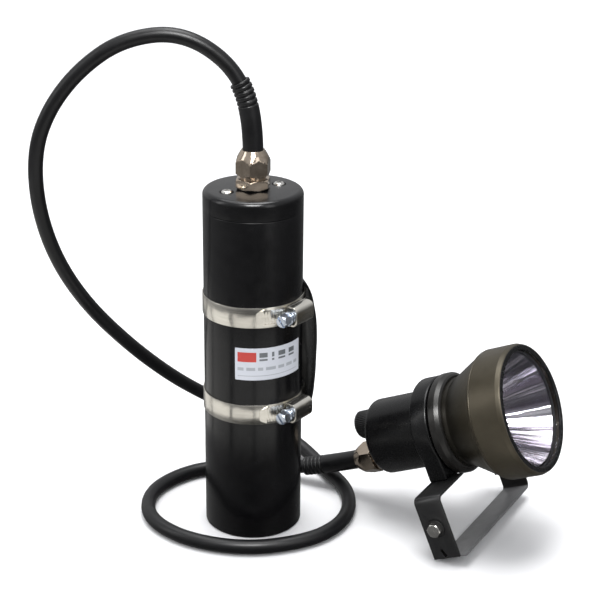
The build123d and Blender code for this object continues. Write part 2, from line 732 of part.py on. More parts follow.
def cross_hole(radius, x, z, y0, y1):
    return Pos(x, (y0 + y1) / 2, z) * Rot(90, 0, 0) * Cylinder(radius, y1 - y0)


def make_handle_top_bracket():
    far = STRAP_HALF_Y - STRAP_T - SLIDE_GAP
    points = [(-STRAP_HALF_Y, NEAR_PLATE_END_Z), (-STRAP_HALF_Y, TOP_PLATE_Z), (far, TOP_PLATE_Z),
              (far, FAR_FLANGE_END_Z)]
    strap = bent_strap([(y, z) for y, z in reversed(points)], STRAP_X)
    low = TOP_PLATE_Z - STRAP_T
    for y in (-COLLAR_SCREW_Y, COLLAR_SCREW_Y):
        sink = lathe([(0, low - 1), (4.05, low - 1), (4.05, low + 0.15), (BOLT_R + 0.1, low + STRAP_T),
                      (BOLT_R + 0.1, TOP_PLATE_Z + 1), (0, TOP_PLATE_Z + 1)])
        strap = strap - Pos(COLLAR_SCREW_X, y, 0) * sink
    for y in (-STRAP_HALF_Y, far):
        strap = strap - cross_hole(BOLT_R + 0.1, STRAP_X, BOLT_Z, y - 5, y + 5)
    notch = Pos(STRAP_X - 1.0, -STRAP_HALF_Y, -63.0) * Rot(0, -24, 0) * Box(2.2, 8.0, 5.4)
    neck_relief = disc_x(NECK_RING_R + 0.6, REAR_FRONT, STRAP_X + STRAP_W)
    return strap - notch - neck_relief


def make_handle_palm_bracket():
    near = -(STRAP_HALF_Y - STRAP_T - SLIDE_GAP)
    points = [(near, PALM_FLANGE_TOP_Z), (near, PALM_PLATE_Z), (STRAP_HALF_Y, PALM_PLATE_Z),
              (STRAP_HALF_Y, PALM_FLANGE_TOP_Z)]
    strap = bent_strap(points, STRAP_X + PALM_SHIFT_X)
    width = 2 * (BOLT_R + 0.2)
    for y in (near, STRAP_HALF_Y):
        for z in (BOLT_Z + SLOT_UP, BOLT_Z - SLOT_DOWN):
            strap = strap - cross_hole(width / 2, STRAP_X, z, y - 5, y + 5)
        middle = BOLT_Z + (SLOT_UP - SLOT_DOWN) / 2
        strap = strap - Pos(STRAP_X, y, middle) * Box(width, 10, SLOT_UP + SLOT_DOWN)
    return strap - beside_near_tongue(near)


def beside_near_tongue(near):
    """What is cut from the near flange to leave a round-topped tongue behind the top bracket's arm."""
    half = PALM_TONGUE_W / 2
    low = PALM_PLATE_Z + STRAP_T
    top = PALM_FLANGE_TOP_Z
    flange = block(STRAP_X - STRAP_W, STRAP_X + STRAP_W, near - 1, near + BEND_R, low, top + 1)
    tongue = block(STRAP_X - half, STRAP_X + half, near - 2, near + 6, low - 1, top - half)
    tongue = tongue + cross_hole(half, STRAP_X, top - half, near - 2, near + 6)
    return flange - tongue


def make_side_bolt(side):
    """A hexagon bolt from outside through both straps; its head is outside, its nut inside."""
    face = STRAP_HALF_Y + 1.0
    head = chamfered_hexagon(8.0, face, face + 3.6)
    shank = disc(BOLT_R, STRAP_HALF_Y - 2 * STRAP_T - SLIDE_GAP - 6.0, face)
    turn = 90 if side < 0 else -90
    return Pos(STRAP_X, 0, BOLT_Z) * Rot(turn, 0, 0) * (head + shank)


def make_outer_washer(side):
    washer = ring(5.6, BOLT_R + 0.1, STRAP_HALF_Y, STRAP_HALF_Y + 1.0)
    turn = 90 if side < 0 else -90
    return Pos(STRAP_X, 0, BOLT_Z) * Rot(turn, 0, 0) * washer


def make_inner_washer(side):
    inner_face = STRAP_HALF_Y - 2 * STRAP_T - SLIDE_GAP
    washer = ring(5.0, BOLT_R + 0.1, inner_face - 1.15, inner_face - 0.15)
    turn = 90 if side < 0 else -90
    return Pos(STRAP_X, 0, BOLT_Z) * Rot(turn, 0, 0) * washer


def make_side_nut(side):
    inner_face = STRAP_HALF_Y - 2 * STRAP_T - SLIDE_GAP - 1.15
    nut = chamfered_hexagon(8.0, inner_face - 4.2, inner_face, bottom=True)
    nut = nut - disc(BOLT_R + 0.03, inner_face - 5, inner_face + 1)
    turn = 90 if side < 0 else -90
    return Pos(STRAP_X, 0, BOLT_Z) * Rot(turn, 0, 0) * nut


# ---------------------------------------------------------------- build and export
def all_parts():
    parts = {
        "canister_body": make_canister_body(),
        "canister_lid": make_canister_lid(),
        "lid_o_rings": make_lid_o_rings(),
        "lid_screws": make_lid_screws(),
        "battery_cells": make_battery_cells(),
        "cell_holders": make_cell_holders(),
        "pack_rods": make_pack_rods(),
        "pack_nuts": make_pack_nuts(),
        "protection_board": make_protection_board(),
        "base_foam_pad": make_base_foam_pad(),
        "canister_leads": make_canister_leads(),
        "label": make_label(),
        "belt_loop": make_belt_loop(),
        "upper_clamp_band": make_clamp_band(UPPER_BAND_Z, -56.0),
        "upper_clamp_housing": make_clamp_housing(UPPER_BAND_Z),
        "upper_clamp_screw": make_clamp_screw(UPPER_BAND_Z),
        "lower_clamp_band": make_clamp_band(LOWER_BAND_Z, -52.0),
        "lower_clamp_housing": make_clamp_housing(LOWER_BAND_Z),
        "lower_clamp_screw": make_clamp_screw(LOWER_BAND_Z),
        "cord": make_cord(),
        "canister_boot": make_canister_boot(),
        "head_boot": make_head_boot(),
        "canister_cord_tail": make_cord_tail(canister_gland_place()),
        "head_cord_tail": make_cord_tail(head_gland_place()),
    }
    for end, place in (("canister", canister_gland_place()), ("head", head_gland_place())):
        for piece, maker in GLAND_MAKERS.items():
            parts[f"{end}_gland_{piece}"] = place * maker()
    head_parts = {
        "bezel_ring": make_bezel_ring(),
        "lens": make_lens(),
        "lens_o_ring": make_lens_o_ring(),
        "reflector": make_reflector(),
        "neck_housing": make_neck_housing(),
        "neck_o_ring": make_neck_o_ring(),
        "neck_ring": make_neck_ring(),
        "heat_sink": make_heat_sink(),
        "led_board": make_led_board(),
        "led_emitter": make_led_emitter(),
        "driver_board": make_driver_board(),
        "rear_body": make_rear_body(),
        "collar": make_collar(),
        "collar_screws": make_collar_screws(),
        "switch_knob": make_switch_knob(),
        "switch_shaft": make_switch_shaft(),
        "switch_cam": make_switch_cam(),
        "switch_o_ring": make_switch_o_ring(),
        "micro_switch": make_micro_switch(),
        "head_leads": make_head_leads(),
        "handle_top_bracket": make_handle_top_bracket(),
        "handle_palm_bracket": make_handle_palm_bracket(),
        "handle_bolts": group([make_side_bolt(-1), make_side_bolt(1)]),
        "handle_outer_washers": group([make_outer_washer(-1), make_outer_washer(1)]),
        "handle_inner_washers": group([make_inner_washer(-1), make_inner_washer(1)]),
        "handle_nuts": group([make_side_nut(-1), make_side_nut(1)]),
    }
    for name, shape in head_parts.items():
        parts[name] = HEAD * shape
    return parts


def report_frame():
    """The head's axes and points in the shared frame, for the record."""
    def place(x, y, z):
        point = (HEAD * Pos(x, y, z)).position
        return [round(value / 1000, 6) for value in point]
    print("beam direction:", [round(COS_T, 6), 0, round(SIN_T, 6)])
    print("front rim:", place(0, 0, 0), "bezel middle:", place(-11.8, 0, 0))
    print("switch axis:", place((KNOB_X[0] + KNOB_X[1]) / 2, 0, KNOB_Z))
    print("handle bolts:", place(STRAP_X, 0, BOLT_Z))
    worm = Rot(0, 0, HOUSING_DEG) * Pos(WORM_AXIS_R, 0, 0)
    print("worm axis:", [round(value / 1000, 6) for value in worm.position])


def report_cord(cord):
    points = cord_points()
    path = cord_path(points)
    print("cord bend radii:", [round(radius, 1) for radius in corner_radii(points)])
    print("cord length:", round(path.length, 1))
    print("cord volume:", round(cord.volume))
    print("section x length:", round(math.pi * CORD_R ** 2 * path.length))


os.makedirs("parts", exist_ok=True)
for node, solid in all_parts().items():
    export_step(solid, f"parts/{node}.step")
    if node == "cord":
        report_cord(solid)
report_frame()
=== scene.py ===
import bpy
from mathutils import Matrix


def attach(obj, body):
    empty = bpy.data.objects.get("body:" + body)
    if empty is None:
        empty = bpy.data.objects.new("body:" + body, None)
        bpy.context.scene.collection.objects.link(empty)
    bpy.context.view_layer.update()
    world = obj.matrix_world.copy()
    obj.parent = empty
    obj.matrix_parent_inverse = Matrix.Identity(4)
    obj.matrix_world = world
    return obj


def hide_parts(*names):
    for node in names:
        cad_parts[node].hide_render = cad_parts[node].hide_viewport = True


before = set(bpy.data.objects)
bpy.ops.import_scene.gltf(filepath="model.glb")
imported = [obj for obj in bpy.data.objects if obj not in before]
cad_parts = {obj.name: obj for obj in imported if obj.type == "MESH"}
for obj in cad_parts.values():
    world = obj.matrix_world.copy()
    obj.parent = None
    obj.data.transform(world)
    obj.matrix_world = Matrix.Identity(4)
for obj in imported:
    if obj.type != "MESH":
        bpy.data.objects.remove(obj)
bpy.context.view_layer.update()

import bpy
import bmesh
import math
from mathutils import Matrix, Vector

MM = 0.001
scene = bpy.context.scene


# ---------------------------------------------------------------- places
CAN_R = 30.0
CAN_H = 218.5
HEAD_TILT = 24.0
HEAD_ORIGIN = Vector((0.1609, 0.0594, 0.089941))
REAR_FACE = -108.5
KNOB_RISE = 10.3
GLAND_DROP = -12.0
BODY = "light"


def turned(axis, degrees):
    """A turn about an axis of the frame."""
    return Matrix.Rotation(math.radians(degrees), 4, axis)


def moved(x, y, z):
    """A shift in millimetres."""
    return Matrix.Translation(Vector((x, y, z)) * MM)


# local x runs forward along the beam from the front rim, y across and z up
HEAD = Matrix.Translation(HEAD_ORIGIN) @ turned("Y", -HEAD_TILT)
# pieces turned about local z are laid along the beam with this
HEAD_AXIS = HEAD @ turned("Y", 90)
KNOB_AXIS = HEAD @ moved(0, 0, KNOB_RISE) @ turned("Y", 90)
# outlines drawn across and up are laid square to the beam with this
ACROSS = HEAD @ turned("Z", 90) @ turned("X", 90)
CANISTER_GLAND = moved(0, 0, CAN_H) @ turned("Z", -9)
HEAD_GLAND = HEAD @ moved(REAR_FACE, 0, GLAND_DROP) @ turned("Y", -90)


# ---------------------------------------------------------------- mesh helpers
def new_object(name, data):
    obj = bpy.data.objects.new(name, data)
    scene.collection.objects.link(obj)
    return obj


def smooth(mesh, sharp=32.0):
    """Smooth shading, with edges over `sharp` degrees left hard."""
    mesh.shade_smooth()
    mesh.set_sharp_from_angle(angle=math.radians(sharp))
    mesh.update()


def make_mesh(name, verts, faces, place=None, sharp=32.0):
    """A piece from millimetre points, with doubled points merged and its faces turned outward."""
    mesh = bpy.data.meshes.new(name)
    mesh.from_pydata([Vector(v) * MM for v in verts], [], faces)
    if place is not None:
        mesh.transform(place)
    bm = bmesh.new()
    bm.from_mesh(mesh)
    bmesh.ops.remove_doubles(bm, verts=bm.verts, dist=2e-7)
    bmesh.ops.dissolve_degenerate(bm, edges=bm.edges, dist=1e-7)
    bmesh.ops.recalc_face_normals(bm, faces=bm.faces)
    bm.to_mesh(mesh)
    bm.free()
    smooth(mesh, sharp)
    return new_object(name, mesh)


def wrap(count, rings, closed):
    """Faces between rings of `count` points: round to the first ring again, or with two flat ends."""
    faces = []
    for j in range(rings if closed else rings - 1):
        k = (j + 1) % rings
        for i in range(count):
            m = (i + 1) % count
            faces.append((j * count + i, k * count + i, k * count + m, j * count + m))
    if not closed:
        faces.append(tuple(range(count)))
        faces.append(tuple(reversed(range((rings - 1) * count, rings * count))))
    return faces


def rounded(points, radius=0.4, steps=3, closed=True):
    """The outline with each corner replaced by a short arc. A point may carry its own radius."""
    out = []
    count = len(points)
    for i, point in enumerate(points):
        here = Vector(point[:2])
        r = point[2] if len(point) > 2 else radius
        before = Vector(points[i - 1][:2]) - here
        after = Vector(points[(i + 1) % count][:2]) - here
        at_end = not closed and i in (0, count - 1)
        if r == 0 or at_end or min(before.length, after.length) < 1e-6:
            out.append(tuple(here))
            continue
        angle = before.angle(after, math.pi)
        if angle > math.radians(176):
            out.append(tuple(here))
            continue
        run = min(r / math.tan(angle / 2), 0.48 * before.length, 0.48 * after.length)
        r = run * math.tan(angle / 2)
        start = here + before.normalized() * run
        end = here + after.normalized() * run
        bisector = (before.normalized() + after.normalized()).normalized()
        centre = here + bisector * (r / math.sin(angle / 2))
        a = start - centre
        b = end - centre
        sweep = a.angle(b, 0.0)
        for k in range(steps + 1):
            t = k / steps
            if sweep < 1e-4:
                out.append(tuple(start.lerp(end, t)))
                continue
            w0 = math.sin((1 - t) * sweep) / math.sin(sweep)
            w1 = math.sin(t * sweep) / math.sin(sweep)
            out.append(tuple(centre + a * w0 + b * w1))
    return out


def finer(profile, parts=4, closed=True):
    """The outline with each of its sides divided into equal parts."""
    out = []
    ends = profile[1:] + profile[:1] if closed else profile[1:]
    for a, b in zip(profile, ends):
        for k in range(parts):
            out.append((a[0] + (b[0] - a[0]) * k / parts, a[1] + (b[1] - a[1]) * k / parts))
    return out if closed else out + profile[-1:]


def arc(centre, radius, start, end, steps):
    """Points round a centre from one angle to another, in radians."""
    angles = [start + (end - start) * k / steps for k in range(steps + 1)]
    return [(centre[0] + radius * math.cos(a), centre[1] + radius * math.sin(a)) for a in angles]


def spun(name, profile, segments=128, place=None, shape=None, slice_of=None, sharp=32.0):
    """A closed (radius, z) profile turned about Z. `shape(r, z, angle)` may bend the radius.
    With `slice_of` = (from, to) in degrees it is a slice with flat ends."""
    start, end = slice_of if slice_of else (0.0, 360.0)
    rings = segments + 1 if slice_of else segments
    verts = []
    for j in range(rings):
        angle = math.radians(start + (end - start) * j / segments)
        for r, z in profile:
            radius = shape(r, z, angle) if shape else r
            verts.append((radius * math.cos(angle), radius * math.sin(angle), z))
    return make_mesh(name, verts, wrap(len(profile), rings, not slice_of), place, sharp)


def ring(name, radii, heights, rounds, place, segments=72, steps=3, sharp=32.0):
    """A plain ring or disc. `rounds` are the radii of its inner, outer low and outer high corners."""
    (inner, outer), (low, high), (bore, foot, top) = radii, heights, rounds
    corners = [(inner, low, bore), (outer, low, foot), (outer, high, top), (inner, high, bore)]
    return spun(name, rounded(corners, steps=steps), segments, place, sharp=sharp)


def drill(radius, z0, z1, place, segments):
    """A round cutter along Z."""
    return spun("cutter", [(0, z0), (radius, z0), (radius, z1), (0, z1)], segments, place)


def hexed(across_flats, past=0.0, below=math.inf):
    """A radius rule that trims a turned shape to a hexagon, past one radius and below one height."""
    def rule(r, z, angle):
        if r <= past or z >= below:
            return r
        turn = (angle + math.radians(30)) % math.radians(60) - math.radians(30)
        return min(r, across_flats / 2 / math.cos(turn))
    return rule


def slab(name, outline, z0, z1, place, bevel=0.0, sharp=32.0):
    """A flat outline given thickness along Z, with its edges eased if asked."""
    verts = [(x, y, z) for z in (z0, z1) for x, y in outline]
    obj = make_mesh(name, verts, wrap(len(outline), 2, False), place, sharp)
    if bevel:
        ease(obj, bevel)
    return obj


def brick(name, low, high, place, bevel=0.0):
    """A block from its low corner to its high corner, with its edges eased if asked."""
    outline = [(low[0], low[1]), (high[0], low[1]), (high[0], high[1]), (low[0], high[1])]
    return slab(name, outline, low[2], high[2], place, bevel)


def ease(obj, width, steps=2, angle=30.0):
    """Rounds the edges sharper than an angle."""
    bevel = obj.modifiers.new("ease", "BEVEL")
    bevel.width = width * MM
    bevel.segments = steps
    bevel.limit_method = "ANGLE"
    bevel.angle_limit = math.radians(angle)
    bevel.harden_normals = False
    bake(obj)


def bake(obj):
    """Applies every modifier, so that the mesh is final."""
    graph = bpy.context.evaluated_depsgraph_get()
    graph.update()
    mesh = bpy.data.meshes.new_from_object(obj.evaluated_get(graph))
    obj.modifiers.clear()
    obj.data = mesh
    smooth(mesh)


def cut(obj, *cutters):
    """Takes the cutters out of obj."""
    for cutter in cutters:
        boolean = obj.modifiers.new("cut", "BOOLEAN")
        boolean.operation = "DIFFERENCE"
        boolean.solver = "EXACT"
        boolean.object = cutter
    bake(obj)
    for cutter in cutters:
        bpy.data.objects.remove(cutter)
    return obj


def join(name, pieces):
    """One object from several that share a material."""
    bm = bmesh.new()
    for piece in pieces:
        bm.from_mesh(piece.data)
    mesh = bpy.data.meshes.new(name)
    bm.to_mesh(mesh)
    bm.free()
    for piece in pieces:
        bpy.data.objects.remove(piece)
    smooth(mesh)
    return new_object(name, mesh)


# ---------------------------------------------------------------- materials
BEAM_TURN = (0.0, math.radians(HEAD_TILT), 0.0)


class Nodes:
    """A short way to build the node tree of a material or of the world."""

    def __init__(self, name, kind="materials", shader="Principled BSDF", coordinates="Object"):
        self.owner = getattr(bpy.data, kind).new(name)
        self.owner.use_nodes = True
        self.tree = self.owner.node_tree
        self.shader = self.tree.nodes[shader]
        self.coords = self.add("ShaderNodeTexCoord").outputs[coordinates]

    def feed(self, socket, value):
        """Gives a socket a number, a vector, a colour or another node's output."""
        if isinstance(value, bpy.types.NodeSocket):
            self.tree.links.new(value, socket)
        elif isinstance(value, tuple) and len(socket.default_value) == 4:
            socket.default_value = (*value, 1.0)
        else:
            socket.default_value = value

    def add(self, kind, inputs=None, **values):
        """A new node with its settings, and with what feeds its inputs by name or number."""
        node = self.tree.nodes.new(kind)
        for key, value in values.items():
            setattr(node, key, value)
        for key, value in (inputs or {}).items():
            self.feed(node.inputs[key], value)
        return node

    def finish(self, **values):
        """Feeds the shader's own sockets and returns the material or world."""
        for key, value in values.items():
            self.feed(self.shader.inputs[key.replace("_", " ")], value)
        return self.owner

    def mapping(self, scale=(1, 1, 1), rotation=(0, 0, 0)):
        inputs = {"Vector": self.coords, "Scale": scale, "Rotation": rotation}
        return self.add("ShaderNodeMapping", inputs).outputs["Vector"]

    def noise(self, scale, detail=3.0, rough=0.55, vector=None):
        inputs = {"Vector": self.coords if vector is None else vector, "Scale": scale,
                  "Detail": detail, "Roughness": rough}
        return self.add("ShaderNodeTexNoise", inputs).outputs["Fac"]

    def ramp(self, fac, stops):
        node = self.add("ShaderNodeValToRGB", {"Fac": fac})
        node.color_ramp.interpolation = "B_SPLINE"
        elements = node.color_ramp.elements
        while len(elements) < len(stops):
            elements.new(0.5)
        for element, (position, value) in zip(elements, stops):
            element.position = position
            element.color = (value, value, value, 1.0)
        return node.outputs["Color"]

    def spread(self, fac, low, high, start=0.3, end=0.7):
        """Maps the range from start to end onto the range from low to high."""
        inputs = {"Value": fac, "From Min": start, "From Max": end, "To Min": low, "To Max": high}
        return self.add("ShaderNodeMapRange", inputs).outputs["Result"]

    def math(self, operation, *values):
        return self.add("ShaderNodeMath", dict(enumerate(values)), operation=operation).outputs["Value"]

    def mix(self, fac, a, b):
        inputs = {"Factor": fac, "A": a, "B": b}
        return self.add("ShaderNodeMix", inputs, data_type="RGBA").outputs["Result"]

    def bump(self, height, strength, distance, normal=None):
        inputs = {"Height": height, "Strength": strength, "Distance": distance}
        if normal is not None:
            inputs["Normal"] = normal
        return self.add("ShaderNodeBump", inputs).outputs["Normal"]

    def edge(self, radius):
        """1 at a piece's outer edges, 0 on its faces, for edge wear that also carries a painted highlight.
        """
        soft = self.add("ShaderNodeBevel", {"Radius": radius}, samples=4).outputs["Normal"]
        true = self.add("ShaderNodeNewGeometry").outputs["Normal"]
        product = self.add("ShaderNodeVectorMath", {0: soft, 1: true}, operation="DOT_PRODUCT")
        return self.spread(product.outputs["Value"], 1.0, 0.0, 0.82, 0.99)

    def head_axes(self):
        """A point's x, y and z along the head's own axes, in metres from the middle of its front rim."""
        origin = tuple(turned("Y", HEAD_TILT) @ HEAD_ORIGIN)
        inputs = {0: self.mapping(rotation=BEAM_TURN), 1: origin}
        shift = self.add("ShaderNodeVectorMath", inputs, operation="SUBTRACT")
        return self.add("ShaderNodeSeparateXYZ", {"Vector": shift.outputs["Vector"]}).outputs


def coated_metal(name, dark, light, roughness, grain, specular, edge, metallic=0.0, turn=None, fade=None):
    """Anodised or painted metal: clouded colour, blasted grain, edge wear that doubles as a painted edge
    highlight and, if asked, fine lines of turning and painted shade, a fade to black along one of the head's
    axes."""
    n = Nodes(name)
    colour = n.mix(n.spread(n.noise(28.0, 4.0, 0.6), 0.0, 1.0, 0.35, 0.65), dark, light)
    # edge wear, paler than the coat, which also brightens the edges as a painted highlight
    edge_wear_and_highlight = n.math("MULTIPLY", n.edge(0.0006), n.spread(n.noise(420.0, 2.0), 0.15, 0.8))
    colour = n.mix(edge_wear_and_highlight, colour, edge)
    # painted shade: if asked, the colour fades to near black along one of the head's axes
    if fade is not None:
        axis, here, share_here, there, share_there = fade
        painted_shade_mask = n.spread(n.head_axes()[axis], share_here, share_there, here, there)
        colour = n.mix(painted_shade_mask, (0.0085, 0.0080, 0.0070), colour)
    rough = n.spread(n.noise(160.0, 5.0, 0.7), roughness - 0.05, roughness + 0.06)
    normal = n.bump(n.noise(grain, 2.0, 0.5), 0.10, 0.00008)
    if turn is not None:
        lines = n.noise(1.0, 2.0, 0.6, n.mapping(*turn))
        normal = n.bump(lines, 0.10, 0.00010, normal)
    return n.finish(Base_Color=colour, Roughness=rough, Normal=normal, Metallic=metallic,
                    Specular_IOR_Level=specular)


def bare_metal(name, dark, light, roughness, streaks, wave=0.0):
    """Plated or polished metal with faint smudges, a brushed direction and, if asked, a slight waviness."""
    n = Nodes(name)
    brushed = n.noise(1.0, 4.0, 0.65, n.mapping(streaks))
    smudge = n.spread(n.noise(70.0, 3.0, 0.6), -0.04, 0.05)
    rough = n.math("ADD", smudge, n.spread(brushed, roughness - 0.04, roughness + 0.05))
    normal = n.bump(brushed, 0.10, 0.00005)
    normal = n.bump(n.noise(900.0, 2.0), 0.06, 0.00005, normal)
    if wave:
        normal = n.bump(n.noise(110.0, 1.0), 0.5, wave, normal)
    return n.finish(Base_Color=n.mix(n.spread(brushed, 0.0, 1.0), dark, light), Roughness=rough,
                    Normal=normal, Metallic=1.0)


def rubber(name, dark, light, roughness, grain, specular=0.3):
    """Matt rubber or foam: cloudy, a little dusty, with a fine grain."""
    n = Nodes(name)
    dust = tuple(min(1.0, c * 2.4) for c in light)
    colour = n.mix(n.spread(n.noise(45.0, 4.0, 0.6), 0.0, 1.0), dark, light)
    colour = n.mix(n.spread(n.noise(700.0, 2.0, 0.6), 0.0, 0.35, 0.6, 0.8), colour, dust)
    return n.finish(Base_Color=colour, Specular_IOR_Level=specular,
                    Roughness=n.spread(n.noise(120.0, 4.0), roughness - 0.06, roughness + 0.07),
                    Normal=n.bump(n.noise(grain, 3.0, 0.6), 0.25, 0.00014))


def moulded(name, dark, light, roughness, specular=0.5, grain=1100.0, strength=0.15):
    """Moulded plastic, printed vinyl or lacquer, with a slight grain."""
    n = Nodes(name)
    return n.finish(Base_Color=n.mix(n.spread(n.noise(60.0, 3.0), 0.0, 1.0), dark, light),
                    Roughness=n.spread(n.noise(190.0, 4.0), roughness - 0.04, roughness + 0.05),
                    Normal=n.bump(n.noise(grain, 2.0), strength, 0.00008), Specular_IOR_Level=specular)


# the fine lines of turning, square to the beam, as a noise's scale and turn
LATHE_LINES = ((2200.0, 8.0, 8.0), BEAM_TURN)
ANODISED = coated_metal("anodised_black", (0.0024, 0.0024, 0.0029), (0.0042, 0.0042, 0.0048), 0.22,
                        2600.0, 0.34, (0.015, 0.015, 0.015), turn=((6.0, 6.0, 2600.0),))
HEAD_BLACK = coated_metal("anodised_head", (0.0035, 0.0035, 0.0038), (0.0062, 0.0062, 0.0066), 0.26,
                          2600.0, 0.22, (0.05, 0.05, 0.05), turn=((2600.0, 6.0, 6.0), BEAM_TURN))
# painted shade: the cone's colour darkens towards the neck, for the shadow that lies there
CONE = coated_metal("anodised_cone", (0.038, 0.033, 0.022), (0.054, 0.046, 0.031), 0.34, 2200.0, 0.35,
                    (0.08, 0.07, 0.055), 0.6, LATHE_LINES, ("X", -0.041, 0.25, -0.024, 1.0))
BRONZE = coated_metal("anodised_bronze", (0.042, 0.036, 0.024), (0.058, 0.049, 0.033), 0.36, 2200.0, 0.35,
                      (0.10, 0.085, 0.065), 0.55, LATHE_LINES)
NECK = coated_metal("anodised_neck", (0.009, 0.0085, 0.0078), (0.016, 0.015, 0.0135), 0.30, 2200.0, 0.4,
                    (0.12, 0.11, 0.10), 0.3, LATHE_LINES)
POWDER = coated_metal("powder_black", (0.0085, 0.0085, 0.0088), (0.0130, 0.0130, 0.0134), 0.33, 900.0,
                      0.45, (0.05, 0.05, 0.05))
# painted light: the palm's inner face is coloured pale for the light it catches; painted shade: its arms
# fade to near black for the head's shadow
PALM_PAINTED_LIGHT_AND_SHADE = coated_metal("powder_palm_painted_light_and_shade", (0.125, 0.125, 0.128), (0.165, 0.165, 0.168), 0.36, 900.0,
                           0.25, (0.07, 0.07, 0.07), fade=("Z", -0.0667, 1.0, -0.0662, 0.0))
STAINLESS = bare_metal("stainless_band", (0.58, 0.56, 0.51), (0.70, 0.67, 0.61), 0.20,
                       (30.0, 30.0, 700.0), 0.0005)
STEEL = bare_metal("stainless_fastener", (0.50, 0.49, 0.47), (0.66, 0.65, 0.62), 0.20,
                   (260.0, 260.0, 260.0), 0.0003)
ZINC = bare_metal("zinc_plate", (0.40, 0.45, 0.52), (0.62, 0.66, 0.73), 0.24, (300.0, 300.0, 300.0))
NICKEL = bare_metal("nickel_brass", (0.34, 0.28, 0.22), (0.46, 0.39, 0.32), 0.13, (120.0, 120.0, 120.0),
                    0.0003)
BARE = bare_metal("machined_aluminium", (0.60, 0.60, 0.61), (0.78, 0.78, 0.80), 0.3, (200.0, 200.0, 900.0))
CORD_RUBBER = rubber("cord_jacket", (0.0038, 0.0038, 0.0044), (0.0068, 0.0068, 0.0078), 0.36, 1400.0)
BOOT_RUBBER = rubber("boot_rubber", (0.0045, 0.0045, 0.0052), (0.0075, 0.0075, 0.0085), 0.34, 1800.0, 0.32)
SEAL_RUBBER = rubber("seal_rubber", (0.0060, 0.0060, 0.0060), (0.0100, 0.0100, 0.0100), 0.55, 1600.0)
FOAM = rubber("pad_foam", (0.030, 0.030, 0.032), (0.050, 0.050, 0.052), 0.85, 600.0, 0.2)
LOOP_PLASTIC = moulded("loop_plastic", (0.0040, 0.0040, 0.0045), (0.0060, 0.0060, 0.0066), 0.24, 0.14)
KNOB_PLASTIC = moulded("knob_plastic", (0.0070, 0.0070, 0.0075), (0.0120, 0.0120, 0.0125), 0.42, 0.35)
HOLDER_PLASTIC = moulded("holder_plastic", (0.16, 0.16, 0.17), (0.22, 0.22, 0.23), 0.5)
LABEL_WHITE = moulded("label_white", (0.54, 0.56, 0.61), (0.59, 0.61, 0.66), 0.34, 0.45, 500.0, 0.05)
LABEL_GREY = moulded("label_grey", (0.10, 0.11, 0.12), (0.16, 0.17, 0.18), 0.4, 0.4, 500.0, 0.05)
LABEL_PALE = moulded("label_pale", (0.30, 0.32, 0.35), (0.38, 0.40, 0.43), 0.4, 0.4, 500.0, 0.05)
LABEL_RED = moulded("label_red", (0.46, 0.030, 0.022), (0.54, 0.045, 0.032), 0.36, 0.45, 500.0, 0.05)
CELL_WRAP = moulded("cell_wrap", (0.03, 0.10, 0.32), (0.04, 0.13, 0.38), 0.3)
BOARD = moulded("circuit_board", (0.010, 0.085, 0.035), (0.015, 0.12, 0.05), 0.4)
WIRE = moulded("lead_wire", (0.32, 0.015, 0.012), (0.42, 0.02, 0.016), 0.45)


def reflector_material():
    """Bright spun metal: streaks that run from the lamp hole to the mouth, with broad dark and pale wedges
    in its colour that are painted reflection.
    """
    n = Nodes("spun_reflector")
    x, y, z = n.head_axes()
    angle = n.math("ARCTAN2", z, y)

    def streaks(around, along, detail, rough):
        """A noise read at places that turn with the angle alone, so that it runs along the beam."""
        place = n.add("ShaderNodeCombineXYZ", {"X": n.math("MULTIPLY", n.math("SINE", angle), around),
                                               "Y": n.math("MULTIPLY", n.math("COSINE", angle), around),
                                               "Z": n.math("MULTIPLY", x, along)})
        return n.noise(1.0, detail, rough, place.outputs["Vector"])

    broad = streaks(2.4, 5.0, 1.0, 0.5)
    middle = streaks(6.5, 9.0, 2.0, 0.6)
    fine = streaks(13.0, 12.0, 3.0, 0.6)
    # painted reflection: broad dark and pale wedges in the colour, over the spun streaks
    painted_reflection_tone = n.math("ADD", n.spread(broad, 0.0, 0.75, 0.45, 0.57), n.spread(middle, 0.0, 0.25, 0.40, 0.60))
    normal = n.bump(broad, 0.6, 0.005)
    normal = n.bump(middle, 0.35, 0.0015, normal)
    normal = n.bump(fine, 0.15, 0.0004, normal)
    return n.finish(Base_Color=n.mix(painted_reflection_tone, (0.10, 0.085, 0.11), (0.52, 0.51, 0.54)), Metallic=1.0,
                    Roughness=n.spread(fine, 0.08, 0.17, 0.35, 0.65), Normal=normal)


def glass_material():
    """A clear window: it mirrors more at a slant and lets the rest through, with faint smudges."""
    n = Nodes("lens_glass")
    slant = n.add("ShaderNodeLayerWeight", {"Blend": 0.5}).outputs["Facing"]
    mirror = n.math("MULTIPLY", n.math("POWER", slant, 4.0), 0.55)
    smudge = n.spread(n.noise(55.0, 4.0, 0.6), 0.015, 0.04, 0.5, 0.8)
    return n.finish(Base_Color=(0.86, 0.86, 1.0), Metallic=1.0, Alpha=n.math("ADD", mirror, smudge),
                    Roughness=n.spread(n.noise(80.0, 3.0), 0.01, 0.05))


def emitter_material():
    """The yellow phosphor of the lamp."""
    n = Nodes("emitter_dome")
    colour = n.mix(n.spread(n.noise(900.0, 2.0), 0.0, 1.0), (0.80, 0.66, 0.18), (0.86, 0.76, 0.34))
    return n.finish(Base_Color=colour, Roughness=0.12, Normal=n.bump(n.noise(500.0), 0.05, 0.0001))


REFLECTOR = reflector_material()
GLASS = glass_material()
EMITTER = emitter_material()


def dress(obj, material, body, stands_for=()):
    """Gives a piece its material, its body and the CAD nodes it stands for."""
    obj.data.materials.clear()
    obj.data.materials.append(material)
    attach(obj, body)
    if stands_for:
        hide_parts(*stands_for)
    return obj


